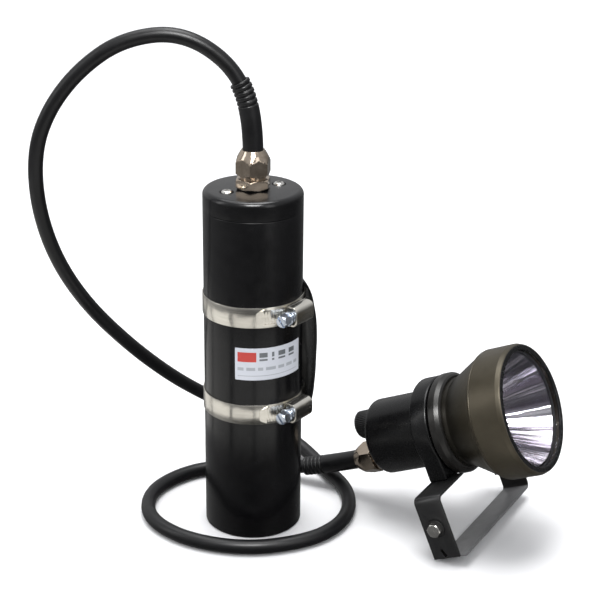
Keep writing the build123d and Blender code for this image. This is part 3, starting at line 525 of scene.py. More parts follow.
# ---------------------------------------------------------------- camera
CAMERA_PLACE = (0.44896, -0.74719, 0.4921)
LENS = 92.91
ROLL = 0.0114
forward = Vector((-0.45284, 0.81233, -0.36748)).normalized()
level = Vector((0.87345, 0.48691, 0.0)).normalized()
upright = level.cross(forward)
right = level * math.cos(ROLL) + upright * math.sin(ROLL)
up = upright * math.cos(ROLL) - level * math.sin(ROLL)
camera = new_object("camera", bpy.data.cameras.new("camera"))
camera.matrix_world = Matrix.Translation(CAMERA_PLACE) @ Matrix((right, up, -forward)).transposed().to_4x4()
camera.data.sensor_width = 36.0
camera.data.lens = LENS
camera.data.clip_start = 0.01
scene.camera = camera


# ---------------------------------------------------------------- cord
CORD_R = 4.5
BOOT_L = 45.0
BOOT_R = 6.1
PLAIN_L = 29.6
RIBS = 5
RIB_PITCH = 2.9
STEP = 0.5
# as many points of the cord's line as a boot needs
BOOT_POINTS = 100
MOUTH = 19.5
canister_mouth = CANISTER_GLAND @ (Vector((0, 0, MOUTH)) * MM) / MM
head_mouth = HEAD_GLAND @ (Vector((0, 0, MOUTH)) * MM) / MM
# the cord leaves the head along the beam's own line, down to where it lies on the floor
slope = math.radians(HEAD_TILT)
drop = (head_mouth.z - CORD_R) / math.sin(slope)
ROUTE = [tuple(canister_mouth), (0, 0, 264), (-11, -5, 292), (-37, -18, 310), (-67, -33, 305),
         (-90, -44, 287), (-108, -51, 263), (-119, -53, 236), (-123, -48, 200), (-120, -37, 163),
         (-111, -19, 128), (-98, 7, 94), (-87, 35, 65), (-82, 68, 39), (-57, 89, 20), (-20, 91, 8),
         (12, 71.5, CORD_R), (36, 57, CORD_R), (52, 35, CORD_R), (58, 9, CORD_R), (50, -18, CORD_R),
         (22, -46, CORD_R), (-19, -55, CORD_R), (-55, -42, CORD_R), (-72, -7, CORD_R), (-56, 37, CORD_R),
         (head_mouth.x - drop * math.cos(slope), head_mouth.y, CORD_R), tuple(head_mouth)]


def make_spline(name, points, radius):
    """A curve with the points as its control points, and a round section if it has a radius."""
    curve = bpy.data.curves.new(name, "CURVE")
    curve.dimensions = "3D"
    curve.resolution_u = 16
    curve.bevel_depth = radius * MM
    curve.bevel_resolution = 10
    curve.use_fill_caps = radius > 0
    spline = curve.splines.new("NURBS")
    spline.points.add(len(points) - 1)
    for point, place in zip(spline.points, points):
        point.co = (place[0] * MM, place[1] * MM, place[2] * MM, 1.0)
    spline.order_u = 3
    spline.use_endpoint_u = True
    return new_object(name, curve)


def centre_line(points):
    """Points read from the route's own spline, in millimetres."""
    probe = make_spline("probe", points, 0.0)
    graph = bpy.context.evaluated_depsgraph_get()
    mesh = bpy.data.meshes.new_from_object(probe.evaluated_get(graph))
    line = [v.co / MM for v in mesh.vertices]
    bpy.data.objects.remove(probe)
    bpy.data.meshes.remove(mesh)
    return line


def walk(line, step):
    """Evenly spaced points along a line of close points."""
    out = [line[0].copy()]
    left = step
    for a, b in zip(line, line[1:]):
        length = (b - a).length
        while length > 0 and left <= length:
            a = a.lerp(b, left / length)
            length = (b - a).length
            out.append(a.copy())
            left = step
        left -= length
    return out


def sleeve(name, line, profile):
    """A sleeve along a line: profile gives (distance along, radius) pairs, out along the outside and
    back along the bore."""
    segments = 48
    lengths = [0.0]
    for a, b in zip(line, line[1:]):
        lengths.append(lengths[-1] + (b - a).length)
    frames = []
    side = None
    for i, point in enumerate(line):
        ahead = (line[min(i + 1, len(line) - 1)] - line[max(i - 1, 0)]).normalized()
        if side is None:
            side = ahead.orthogonal().normalized()
        side = (side - ahead * side.dot(ahead)).normalized()
        frames.append((point, ahead, side.copy()))
    verts = []
    for distance, radius in profile:
        i = 0
        while lengths[i + 1] < distance and i < len(lengths) - 2:
            i += 1
        t = (distance - lengths[i]) / max(1e-9, lengths[i + 1] - lengths[i])
        p, f, s = (a.lerp(b, t) for a, b in zip(frames[i], frames[i + 1]))
        f.normalize()
        s = (s - f * s.dot(f)).normalized()
        for k in range(segments):
            angle = 2 * math.pi * k / segments
            verts.append(p + (s * math.cos(angle) + f.cross(s) * math.sin(angle)) * radius)
    return make_mesh(name, verts, wrap(segments, len(profile), True), sharp=50.0)


def boot_profile():
    """A plain root, then ribs up to the lip, and back down a bore just over the cord."""
    bore = CORD_R + 0.06
    groove = ((0.25, 0.0), (0.5, 0.25), (0.8, 0.62), (1.15, 0.62), (1.45, 0.25), (1.7, 0.0))
    out = [(0.0, BOOT_R - 0.1)] + [(k * PLAIN_L / 23, BOOT_R) for k in range(24)]
    for k in range(RIBS):
        at = PLAIN_L + 0.4 + RIB_PITCH * k
        out += [(at + along, BOOT_R - depth) for along, depth in groove]
    out += [(44.4, BOOT_R), (44.8, BOOT_R - 0.15), (BOOT_L, BOOT_R - 0.4), (BOOT_L, bore)]
    return out + [(max(0.0, BOOT_L - k * (BOOT_L + 1.6) / 20), bore) for k in range(1, 21)]


cord = make_spline("umbilical_cord", ROUTE, CORD_R)
line = walk(centre_line(ROUTE), STEP)
canister_boot = sleeve("canister_boot_ribbed", line[:BOOT_POINTS], boot_profile())
head_boot = sleeve("head_boot_ribbed", line[::-1][:BOOT_POINTS], boot_profile())
dress(canister_boot, BOOT_RUBBER, BODY, ["canister_boot"])
dress(head_boot, BOOT_RUBBER, BODY, ["head_boot"])
dress(cord, CORD_RUBBER, BODY, ["cord"])


# ---------------------------------------------------------------- canister
LID_SEAM = 206.5
BORE_R = 26.5
SCREW_SEAT = CAN_H - 1.0
SCREW_PLACES = [turned("Z", 59.0 + turn) @ moved(17.4, 0, 0) for turn in (0, 180)]


def make_barrel():
    """A tube closed at its foot, turned in one piece."""
    profile = rounded([(0, 0, 0), (CAN_R - 0.7, 0, 0.3), (CAN_R, 0.7, 0.3), (CAN_R, LID_SEAM - 0.02, 0.35),
                       (BORE_R, LID_SEAM - 0.02, 0.2), (BORE_R, 6, 0.5), (0, 6, 0)])
    dress(spun("barrel_turned", profile, 192), ANODISED, BODY, ["canister_body"])


def make_lid():
    """The lid with its plug, its cord hole and two wells for the screws."""
    profile = rounded([(8.0, 194.5, 0.2), (26.3, 194.5, 0.8), (26.3, LID_SEAM + 0.02, 0),
                       (CAN_R - 0.5, LID_SEAM + 0.02, 0), (CAN_R, LID_SEAM + 0.5, 0.15), (CAN_R, CAN_H, 3.4),
                       (8.0, CAN_H, 0)], steps=8)
    well = rounded([(0, SCREW_SEAT, 0), (4.05, SCREW_SEAT, 0.15), (4.15, CAN_H - 0.2, 0.15),
                    (4.5, CAN_H + 0.1, 0), (4.5, CAN_H + 1, 0), (0, CAN_H + 1, 0)])
    cutters = []
    for place in SCREW_PLACES:
        cutters.append(spun("cutter", well, 64, place))
        cutters.append(drill(2.2, 190, SCREW_SEAT + 0.5, place, 32))
    lid = cut(spun("lid_turned", profile, 160), *cutters)
    dress(lid, ANODISED, BODY, ["canister_lid"])


def make_lid_screws():
    """Two pan head screws, each with a cross slot."""
    seat = SCREW_SEAT
    profile = rounded([(0, seat - 25.4, 0), (1.97, seat - 25.4, 0.3), (1.97, seat, 0),
                       (3.38, seat + 0.01, 0.1), (3.38, seat + 1.1, 0.5), (2.5, seat + 2.05, 0.9),
                       (0, seat + 2.18, 0)], steps=5)
    screws = []
    for place, cross in zip(SCREW_PLACES, (20, -35)):
        slots = [brick("cutter", (-1.9, -0.42, seat + 1.0), (1.9, 0.42, seat + 3),
                       place @ turned("Z", cross + quarter)) for quarter in (0, 90)]
        screws.append(cut(spun("lid_screw", profile, 48, place), *slots))
    dress(join("lid_screws_pan", screws), STEEL, BODY, ["lid_screws"])


LABEL_DEG = (-80.0, 6.0)
LABEL_Z = (107.8, 128.4)


def patch(name, degrees, heights, radii, material, stands_for=(), corner=0.0):
    """A thin sheet wrapped on the barrel, with rounded corners if asked."""
    columns = 48
    rows = 10
    outer = radii[1]
    width = math.radians(degrees[1] - degrees[0]) * outer
    height = heights[1] - heights[0]

    def placed(u, v, radius):
        if corner:
            du = max(0.0, abs(u - width / 2) - (width / 2 - corner))
            reach = math.sqrt(max(0.0, corner ** 2 - du ** 2)) if du > 0 else corner
            half = height / 2 - corner + reach
            v = (v - 0.5) * 2 * half + height / 2
        else:
            v = v * height
        angle = math.radians(degrees[0]) + u / outer
        return (radius * math.cos(angle), radius * math.sin(angle), heights[0] + v)

    verts = []
    for radius in radii:
        for i in range(columns + 1):
            u = width * (0.5 - 0.5 * math.cos(math.pi * i / columns))
            verts += [placed(u, j / rows, radius) for j in range(rows + 1)]
    stride = rows + 1
    layer = (columns + 1) * stride
    faces = []
    for i in range(columns):
        for a in range(i * stride, i * stride + rows):
            faces.append((a, a + 1, a + stride + 1, a + stride))
            faces.append((layer + a, layer + a + stride, layer + a + stride + 1, layer + a + 1))
        for a in (i * stride, i * stride + rows):
            faces.append((a, a + stride, layer + a + stride, layer + a))
    for i in (0, columns):
        for a in range(i * stride, i * stride + rows):
            faces.append((a, layer + a, layer + a + 1, a + 1))
    return dress(make_mesh(name, verts, faces, sharp=40.0), material, BODY, stands_for)


def make_label():
    """A white sticker with plain blocks of colour in place of any print."""
    patch("label_sheet", LABEL_DEG, LABEL_Z, (CAN_R + 0.02, CAN_R + 0.16), LABEL_WHITE, ["label"], 0.5)

    def block(name, at, width, low, high, material):
        """A patch placed from the sticker's left and lower edges, in degrees and millimetres."""
        start = LABEL_DEG[0] + at
        patch(name, (start, start + width), (LABEL_Z[0] + low, LABEL_Z[0] + high),
              (CAN_R + 0.15, CAN_R + 0.185), material)

    block("label_red_block", 3.0, 21.5, 11.8, 18.0, LABEL_RED)
    at = 28.0
    for k, width in enumerate((9.5, 3.0, 9.5, 9.0)):
        for row, (low, high) in enumerate(((12.4, 13.6), (14.6, 17.6))):
            block(f"label_bar_{k}_{row}", at, width, low, high, LABEL_GREY)
        at += width + 5.2
    at = 3.0
    for k, width in enumerate((7, 10, 6, 12, 8, 9, 6)):
        block(f"label_small_bar_{k}", at, width, 6.2, 8.2, LABEL_PALE)
        at += width + 3.2
    block("label_line", 3.0, 76.0, 2.6, 3.0, LABEL_PALE)


# ---------------------------------------------------------------- belt loop and clamps
BAND_W = 12.7
BAND_T = 0.7
BAND_R = 30.05
# each band's height, and the bearing where its tail starts
BANDS = {"upper": (147.75, -56.0), "lower": (84.85, -52.0)}
HOUSING_DEG = -7.0
HOUSING_L = 17.0
HOUSING_TOP = 39.2
WORM_AXIS = 35.0
LOOP_DEG = 56.0
LOOP_HALF = 24.0


def smooth_line(points):
    """A Catmull-Rom line through the points."""
    per = 6
    out = []
    padded = points[:1] + points + points[-1:]
    for i in range(1, len(padded) - 2):
        p0, p1, p2, p3 = (Vector(p) for p in padded[i - 1:i + 3])
        for k in range(per):
            t = k / per
            out.append(tuple(0.5 * ((2 * p1) + (p2 - p0) * t + (2 * p0 - 5 * p1 + 4 * p2 - p3) * t * t
                                    + (3 * p1 - p0 - 3 * p2 + p3) * t ** 3)))
    return out + points[-1:]


def make_belt_loop():
    """A bowed strap with a pad at each end, drawn as one section turned about the canister."""
    top = BANDS["upper"][0] + BAND_W / 2
    low = BANDS["lower"][0] - BAND_W / 2
    pad = CAN_R + 1.2
    wall = CAN_R + 0.05
    crown = 39.15
    thick = 1.8
    bow = [(35.8, top - 4.1), (37.3, top - 11.0), (crown - 0.5, top - 20.0), (crown, top - 32.0),
           (crown - 0.3, top - 44.0), (crown - 0.6, low + 21.5), (crown - 1.2, low + 13.5),
           (crown - 1.9, low + 6.5)]
    outer = [(pad - 0.2, top + 5.0), (33.6, top + 0.9)] + bow + [(crown - 3.6, low), (pad, low - 4.0)]
    lower_pad = [(wall, low - 4.0), (wall, low + BAND_W + 3.0), (pad, low + BAND_W + 3.0), (pad, low - 0.9)]
    inner = [(35.5 - thick, low - 0.9)] + [(r - thick, z) for r, z in reversed(bow)] + [(33.0, top + 1.0)]
    upper_pad = [(pad, top + 1.0), (pad, top - BAND_W - 3.0), (wall, top - BAND_W - 3.0), (wall, top + 5.0)]
    profile = smooth_line(outer) + lower_pad + smooth_line(inner) + upper_pad
    reach = (LOOP_DEG - LOOP_HALF, LOOP_DEG + LOOP_HALF)
    loop = spun("belt_loop_strap", profile, 40, slice_of=reach, sharp=38.0)
    ease(loop, 0.35, 2, 50.0)
    dress(loop, LOOP_PLASTIC, BODY, ["belt_loop"])


def band_radius(angle, base):
    """The band's path: round the barrel, and straight from the barrel to the loop's pad and over it."""
    pad = CAN_R + 1.28 + (base - BAND_R)
    away = abs((math.degrees(angle) - LOOP_DEG + 180) % 360 - 180)
    tangent = math.degrees(math.acos(base / pad))
    if away <= LOOP_HALF:
        return pad
    if away <= LOOP_HALF + tangent:
        return base / math.cos(math.radians(tangent - (away - LOOP_HALF)))
    return base


def make_band(which):
    """A band with its tail lying over it. The tail narrows at its end and has the worm's slots."""
    z, tail_from = BANDS[which]
    tail_to = HOUSING_DEG + 15.5
    taper = 9.0

    def sheet(base, half_width, thick, count, slice_of=None):
        low, high = base, base + thick
        profile = rounded([(low, -half_width), (high, -half_width), (high, half_width), (low, half_width)],
                          0.25, 2)

        def rule(r, height, angle):
            return band_radius(angle, base) + (r - base)
        return spun("band", profile, count, moved(0, 0, z), rule, slice_of)

    band = sheet(BAND_R + 0.03, BAND_W / 2, BAND_T - 0.05, 240)
    tail = sheet(BAND_R + BAND_T + 0.01, 5.6, BAND_T - 0.03, 90, (tail_from, tail_to))
    for vertex in tail.data.vertices:
        along = (math.degrees(math.atan2(vertex.co.y, vertex.co.x)) - tail_from) / taper
        if along < 1.0:
            limit = (3.0 + 2.6 * max(0.0, along) ** 0.7) * MM
            offset = vertex.co.z - z * MM
            vertex.co.z = z * MM + max(-limit, min(limit, offset))
    cutters = []
    for k in range(14):
        at = turned("Z", tail_from + taper + 3.4 * k)
        place = moved(0, 0, z) @ at @ moved(BAND_R + 1.4, 0, 0) @ turned("X", 12)
        cutters.append(brick("cutter", (-0.45, -0.55, -3.8), (0.8, 0.55, 3.8), place))
    # painted shade: a dark sheet under the tail, so that its slots read dark
    shade = sheet(BAND_R + BAND_T - 0.01, 3.7, 0.05, 60, (tail_from + 8.0, tail_to))
    shade.name = f"{which}_band_slot_painted_shade"
    dress(shade, NECK, BODY)
    cut(tail, join("cutter", cutters))
    dress(join(f"{which}_band_rolled", [band, tail]), STAINLESS, BODY,
          [f"{which}_clamp_band"])


def make_housing(which):
    """The pressed bridge over the worm, with its foot and two skirts on the band."""
    place = moved(0, 0, BANDS[which][0]) @ turned("Z", HOUSING_DEG)
    low = BAND_R + 1.5
    half_h = 6.15
    end = HOUSING_L / 2

    def arch(inset):
        h = half_h - inset
        top = HOUSING_TOP - inset
        corner = 4.9 - inset
        return rounded([(low, -h, 0), (top, -h, corner), (top, h, corner), (low, h, 0)], 0, 8)

    outline = arch(0.0) + arch(1.0)[::-1]
    stations = (-end, -end + 0.5, end - 0.5, end)
    verts = [(x, y, h) for y in stations for x, h in outline]
    shell = make_mesh("shell", verts, wrap(len(outline), len(stations), False), place, 35.0)
    ease(shell, 0.22, 2, 50.0)
    parts = [shell]
    for side in (-half_h, half_h):
        parts.append(brick("skirt", (low - 0.1, -end + 0.2, side - 0.55),
                           (low + 1.6, end - 0.2, side + 0.05), place, 0.15))
    parts.append(brick("foot", (low - 0.02, -end + 0.4, -half_h + 0.3), (low + 0.3, end - 0.4, half_h - 0.3),
                       place, 0.1))
    dress(join(f"{which}_housing_pressed", parts), STAINLESS, BODY,
          [f"{which}_clamp_housing"])


def make_worm(which):
    """The screw: a slotted hexagon head on a flange, and a worm thread inside the housing."""
    place = moved(0, 0, BANDS[which][0]) @ turned("Z", HOUSING_DEG)
    place = place @ moved(WORM_AXIS, 0, 0) @ turned("X", 90)
    start = HOUSING_L / 2
    thread = [(0, -start + 0.3), (2.3, -start + 0.3)]
    at = -start + 0.8
    while at < start - 0.8:
        thread += [(2.35, at), (2.95, at + 0.45), (2.95, at + 0.75), (2.35, at + 1.2)]
        at += 1.7
    thread += [(2.6, start - 0.2), (2.6, start + 3.4), (0, start + 3.4)]
    worm = spun("worm", thread, 48, place)
    profile = rounded([(0, start + 3.4, 0), (3.9, start + 3.4, 0.2), (4.4, start + 3.8, 0.2),
                       (4.4, start + 4.3, 0.25), (3.8, start + 4.8, 0.3), (0, start + 4.8, 0)])
    flange = spun("flange", profile, 64, place)
    collar = ring("collar", (0, 3.6), (start + 0.2, start + 1.4), (0, 0.2, 0.3), place, 64)
    profile = rounded([(0, start + 4.6, 0), (4.05, start + 4.6, 0), (4.05, start + 8.8, 0),
                       (3.3, start + 10.1, 0.3), (0, start + 10.2, 0)], 0.2, 3)
    head = spun("head", finer(profile, closed=False), 96, place @ turned("Z", 17), hexed(7.0), sharp=28.0)
    cut(head, brick("cutter", (-0.65, -6, start + 8.7), (0.65, 6, start + 12), place @ turned("Z", 40)))
    dress(join(f"{which}_worm_screw", [worm, flange, collar, head]), ZINC,
          f"{which}_screw", [f"{which}_clamp_screw"])


# ---------------------------------------------------------------- cable glands
def make_gland(end, place):
    """A plated cable gland: washer, hexagon base, thread and a hexagon cap that closes on the boot."""
    flats = 19.0
    corner = 10.97
    turned_hex = place @ turned("Z", 30)
    base = finer(rounded([(4.6, 0.62, 0), (9.55, 0.62, 0.1), (corner, 1.5, 0.15), (corner, 5.5, 0.15),
                          (9.55, 6.35, 0.1), (7.6, 6.38, 0), (7.6, 15.0, 0.2), (6.22, 15.0, 0),
                          (6.22, 5.02, 0), (4.62, 5.02, 0)], 0.2, 2), 3)
    pieces = [spun("gland_hex", base, 144, turned_hex @ turned("Z", 1.5), hexed(flats, 8.0), sharp=24.0),
              ring("gland_thread", (4.62, 7.93), (-9.98, 0.66), (0, 0.5, 0), place, 64)]
    for k in range(3):
        z = 6.75 + 0.62 * k
        pieces.append(ring("gland_ridge", (7.55, 7.72), (z, z + 0.3), (0, 0.1, 0.1), place, 96, 2))
    dress(join(f"{end}_gland_base", pieces), NICKEL, BODY, [f"{end}_gland_body"])
    cap = finer(rounded([(7.68, 8.62, 0), (9.5, 8.62, 0.15), (corner, 9.6, 0.2), (corner, 16.3, 0.4),
                         (9.5, 18.85, 0.5), (8.5, 20.9, 2.0), (7.3, 22.85, 0.5), (6.9, 23.55, 0.25),
                         (6.22, 23.55, 0.15), (6.22, 19.52, 0), (4.62, 19.52, 0), (4.62, 15.42, 0),
                         (7.68, 15.42, 0)], 0.2, 4), 2)
    nut = spun(f"{end}_gland_cap", cap, 144, turned_hex, hexed(flats, 8.0, 19.2), sharp=24.0)
    dress(nut, NICKEL, BODY, [f"{end}_gland_nut"])
    washer = ring(f"{end}_gland_seat", (8.03, 9.15), (0.02, 0.58), (0.1, 0.2, 0.2), place, 96)
    dress(washer, SEAL_RUBBER, BODY, [f"{end}_gland_washer"])


# ---------------------------------------------------------------- light head
def make_bezel():
    """The screwed front ring: a plain barrel, and a black land round the window that is painted reflection
    of the dark its front face mirrors.
    """
    profile = rounded([(39.0, -1.22, 0), (39.0, -0.1, 0.1), (39.6, -0.9, 0.6), (40.38, -3.2, 0.9),
                       (40.38, -20.6, 0.25), (40.15, -20.97, 0.15), (37.83, -20.97, 0.15),
                       (37.83, -1.6, 0)], 0.3, 5)
    bezel = spun("bezel_turned", profile, 256, HEAD_AXIS, sharp=40.0)
    dress(bezel, BRONZE, "bezel", ["bezel_ring"])
    # painted reflection: the front face round the window is made black for the dark it mirrors
    profile = rounded([(35.62, -1.24, 0.05), (35.62, -0.42, 0.15), (36.05, -0.02, 0.2), (38.7, -0.02, 0.3),
                       (39.03, -0.25, 0), (39.03, -1.24, 0)], 0.1, 4)
    dress(spun("bezel_front_painted_reflection", profile, 256, HEAD_AXIS), HEAD_BLACK, "bezel")


def make_lens():
    """A flat disc with eased edges."""
    lens = ring("lens_disc", (0, 37.55), (-4.29, -1.31), (0, 0.3, 0.3), HEAD_AXIS, 192, sharp=40.0)
    dress(lens, GLASS, "lens_carrier", ["lens"])


def make_reflector():
    """A parabola from the lamp hole to the mouth, with a lip."""
    mouth_x, mouth_r = -5.2, 34.6
    hole_x, hole_r = -43.5, 6.0
    wall = 0.9
    lip_r = 35.9
    steps = 40
    opening = (mouth_r ** 2 - hole_r ** 2) / (mouth_x - hole_x)
    inner = []
    for k in range(steps + 1):
        x = hole_x + (mouth_x - hole_x) * (k / steps) ** 1.5
        inner.append((math.sqrt(hole_r ** 2 + opening * (x - hole_x)), x))
    outer = [(r + 1.15, x - wall) for r, x in reversed(inner)]
    profile = inner + [(lip_r, mouth_x), (lip_r, mouth_x - wall)] + outer
    reflector = spun("reflector_bowl", profile, 192, HEAD_AXIS, sharp=50.0)
    dress(reflector, REFLECTOR, BODY, ["reflector"])


def make_neck():
    """The cone behind the bezel, with its step, its round root and the neck under the rings."""
    profile = rounded([(36.1, -6.0, 0.1), (37.7, -6.0, 0.1), (37.7, -21.17, 0), (39.95, -21.17, 0.15),
                       (40.15, -21.45, 0.2), (39.65, -22.6, 0.5), (38.35, -24.4, 2.0), (28.25, -43.4, 1.5),
                       (27.78, -44.6, 0.8), (27.78, -56.85, 0), (20.9, -56.95, 0), (20.9, -62.0, 0),
                       (20.9, -67.98, 0.3), (17.03, -67.98, 0.2), (17.03, -45.5, 0), (20.5, -43.0, 0),
                       (34.1, -24.0, 0), (34.6, -11.5, 0), (36.1, -9.5, 0)], 0.2, 4)
    neck = spun("neck_cone", profile, 224, HEAD_AXIS, sharp=30.0)
    dress(neck, CONE, BODY, ["neck_housing"])
    profile = rounded([(27.86, -55.45, 0.1), (31.2, -55.45, 0.5), (31.55, -54.9, 0.4), (31.55, -50.9, 0.5),
                       (30.2, -48.4, 0.6), (29.0, -47.55, 0.3), (27.86, -47.55, 0.1)], 0.3, 4)
    turned_ring = spun("neck_ring_turned", profile, 192, HEAD_AXIS, sharp=45.0)
    dress(turned_ring, NECK, BODY, ["neck_ring"])


def make_rear_body():
    """A closed tube with two holes in its rear wall, for the switch and the cord."""
    face = REAR_FACE + 0.1
    profile = rounded([(0, face, 0), (24.0, face, 3.6), (24.0, -57.1, 0.3), (21.0, -57.1, 0.2),
                       (21.0, -102.0, 0.5), (0, -102.0, 0)], 0.3, 8)
    body = spun("rear_body_turned", profile, 192, HEAD_AXIS, sharp=40.0)
    cord_axis = HEAD @ moved(0, 0, GLAND_DROP) @ turned("Y", 90)
    cut(body, drill(3.1, -112, -98, KNOB_AXIS, 48), drill(8.0, -112, -98, cord_axis, 64))
    dress(body, HEAD_BLACK, BODY, ["rear_body"])


FOOT_Z = -26.45
COLLAR_SCREWS_Y = (-17, 17)


def make_collar():
    """A round clamp block with straight sides down to a flat foot."""
    radius = 31.0
    half = 28.5
    touch = math.acos(half / radius)
    outline = [(-half, FOOT_Z), (half, FOOT_Z)] + arc((0, 0), radius, -touch, math.pi + touch, 96)
    collar = slab("collar_block", outline, -69.4, -57.05, ACROSS, sharp=30.0)
    ease(collar, 1.5, 5, 55.0)
    screw_holes = [drill(2.55, -4, 8, HEAD @ moved(STRAP_X - 2, y, FOOT_Z), 32) for y in COLLAR_SCREWS_Y]
    cut(collar, drill(24.03, -80, -50, HEAD_AXIS, 160), *screw_holes)
    dress(collar, HEAD_BLACK, BODY, ["collar"])


def make_knob():
    """The switch knob: a knurled skirt, a plain land and a crowned end with a pointer groove."""
    profile = finer(rounded([(3.05, -109.2, 0), (8.5, -109.2, 0.3), (9.0, -109.7, 0.3), (9.0, -119.6, 0),
                             (8.95, -120.4, 0.6), (7.9, -121.7, 0.8), (0, -122.0, 0), (0, -119.0, 0),
                             (3.05, -119.0, 0)], 0.3, 4), 2)
    near = -110.2
    far = -120.3

    def knurl(r, z, angle):
        if r < 8.2 or z > near or z < far:
            return r
        fade = min(1.0, (near - z) / 0.5, (z - far) / 0.5)
        return r - 0.34 * fade * (0.5 + 0.5 * math.cos(angle * 44)) ** 1.5

    knob = spun("switch_knob_knurled", profile, 352, KNOB_AXIS, knurl, sharp=50.0)
    cut(knob, brick("cutter", (-122.6, -0.6, 2.6), (-121.5, 0.6, 7.4), HEAD @ moved(0, 0, KNOB_RISE)))
    dress(knob, KNOB_PLASTIC, "switch", ["switch_knob"])


# ---------------------------------------------------------------- hand mount
STRAP_W = 18.0
STRAP_T = 1.5
STRAP_X = -60.5
HALF_Y = 53.1
# each bracket's other arm lies this much inside its partner's
INSET_Y = HALF_Y - STRAP_T - 0.15
BOLT_Z = -46.5


def strap(name, corners, x_centre):
    """A flat strap bent round its outer corners, as a slab across the head."""
    bend = 4.0
    inner = []
    for i, point in enumerate(corners):
        normal = Vector((0, 0))
        for a, b in zip(corners[max(i - 1, 0):i + 1], corners[max(i, 1):i + 2]):
            step = (Vector(b) - Vector(a)).normalized()
            normal += Vector((-step.y, step.x))
        inner.append(tuple(Vector(point) + normal * STRAP_T))
    outline = rounded(corners, bend, 8, closed=False)
    outline += rounded(inner, bend - STRAP_T, 8, closed=False)[::-1]
    low = x_centre - STRAP_W / 2
    return slab(name, outline, low, low + STRAP_W, ACROSS, sharp=30.0)


def make_top_bracket():
    """The strap under the collar, its arms down, with a notch in the near arm."""
    corners = [(INSET_Y, -56.0), (INSET_Y, -26.5), (-HALF_Y, -26.5), (-HALF_Y, -66.5)]
    bracket = strap("top_bracket_bent", corners, STRAP_X)
    notch = brick("cutter", (-1.1, -5, -2.7), (1.1, 5, 2.7),
                  HEAD @ moved(STRAP_X - 1, -HALF_Y, -63.0) @ turned("Y", -HEAD_TILT), 0.4)
    cutters = [drill(32.2, -57.0, -40, HEAD_AXIS, 128), notch]
    for y in (-HALF_Y, INSET_Y):
        cutters.append(drill(2.6, -6, 6, HEAD @ moved(STRAP_X, y, BOLT_Z) @ turned("X", 90), 48))
    sink = [(0, -30.5), (4.05, -30.5), (4.05, -27.85), (2.6, -26.5), (2.6, -25), (0, -25)]
    for y in COLLAR_SCREWS_Y:
        cutters.append(spun("cutter", sink, 48, HEAD @ moved(STRAP_X - 2, y, 0)))
    cut(bracket, *cutters)
    ease(bracket, 0.3, 2, 60.0)
    dress(bracket, POWDER, BODY, ["handle_top_bracket"])


def make_palm_bracket():
    """The strap held by the hand, its arms up, with slots for the bolts and a tongue on the near arm."""
    low = -68.4
    top = -41.0
    corners = [(-INSET_Y, top), (-INSET_Y, low), (HALF_Y, low), (HALF_Y, top)]
    bracket = strap("palm_bracket_bent", corners, STRAP_X + 2.0)
    tongue = 6.2
    base = low + STRAP_T
    edge = [(-20, base), (-tongue, base)] + arc((0, top - tongue), tongue, math.pi, 0.0, 32)
    edge += [(tongue, base), (20, base), (20, top + 2), (-20, top + 2)]
    slot = arc((0, 0.6), 2.7, 0.0, math.pi, 32) + arc((0, -7.0), 2.7, math.pi, 2 * math.pi, 32)
    cutters = [slab("cutter", edge, -4.2, 1, HEAD @ moved(STRAP_X, -INSET_Y, 0) @ turned("X", 90))]
    for y in (-INSET_Y, HALF_Y):
        cutters.append(slab("cutter", slot, -6, 6, HEAD @ moved(STRAP_X, y, BOLT_Z) @ turned("X", 90)))
    cut(bracket, *cutters)
    ease(bracket, 0.3, 2, 60.0)
    # the palm's material paints light on its inner face and shade on its arms
    dress(bracket, PALM_PAINTED_LIGHT_AND_SHADE, "palm", ["handle_palm_bracket"])


def make_mount_fasteners():
    """On each side a bolt, an outer washer, an inner washer and a nut."""
    inside = INSET_Y - STRAP_T
    face = HALF_Y + 1.0
    across_flats = 8.0
    corner = 4.62
    head_profile = finer(rounded([(0, face, 0), (corner, face, 0), (corner, face + 2.9, 0),
                                  (3.9, face + 3.5, 0.2), (0, face + 3.6, 0)], 0.2, 3), 5)
    nut_profile = finer(rounded([(2.52, inside - 5.35, 0.1), (3.95, inside - 5.35, 0.1),
                                 (corner, inside - 4.9, 0), (corner, inside - 1.6, 0),
                                 (3.95, inside - 1.17, 0.1), (2.52, inside - 1.17, 0.1)], 0.2, 2), 4)
    bolts, outer_washers, inner_washers, nuts = [], [], [], []
    for turn in (90, -90):
        place = HEAD @ moved(STRAP_X, 0, BOLT_Z) @ turned("X", turn)
        bolts.append(spun("bolt_head", head_profile, 120, place @ turned("Z", 14), hexed(across_flats),
                          sharp=26.0))
        bolts.append(ring("bolt_shank", (0, 2.5), (inside - 6, face), (0, 0.5, 0), place, 48))
        outer_washers.append(ring("washer", (2.6, 5.6), (HALF_Y + 0.01, face - 0.01),
                                  (0.1, 0.3, 0.3), place))
        inner_washers.append(ring("washer", (2.6, 5.0), (inside - 1.15, inside - 0.16),
                                  (0.1, 0.2, 0.2), place))
        nuts.append(spun("nut", nut_profile, 120, place, hexed(across_flats, 3.0), sharp=26.0))
    dress(join("mount_bolts_hex", bolts), STEEL, BODY, ["handle_bolts"])
    dress(join("mount_washers_outer", outer_washers), SEAL_RUBBER, BODY,
          ["handle_outer_washers"])
    dress(join("mount_washers_inner", inner_washers), STEEL, "palm_pivot",
          ["handle_inner_washers"])
    dress(join("mount_nuts_hex", nuts), STEEL, BODY, ["handle_nuts"])


make_barrel()
make_lid()
make_lid_screws()
make_label()
make_belt_loop()
for clamp in BANDS:
    make_band(clamp)
    make_housing(clamp)
    make_worm(clamp)
make_gland("canister", CANISTER_GLAND)
make_gland("head", HEAD_GLAND)
make_bezel()
make_lens()
make_reflector()
make_neck()
make_rear_body()
make_collar()
make_knob()
make_top_bracket()
make_palm_bracket()
make_mount_fasteners()


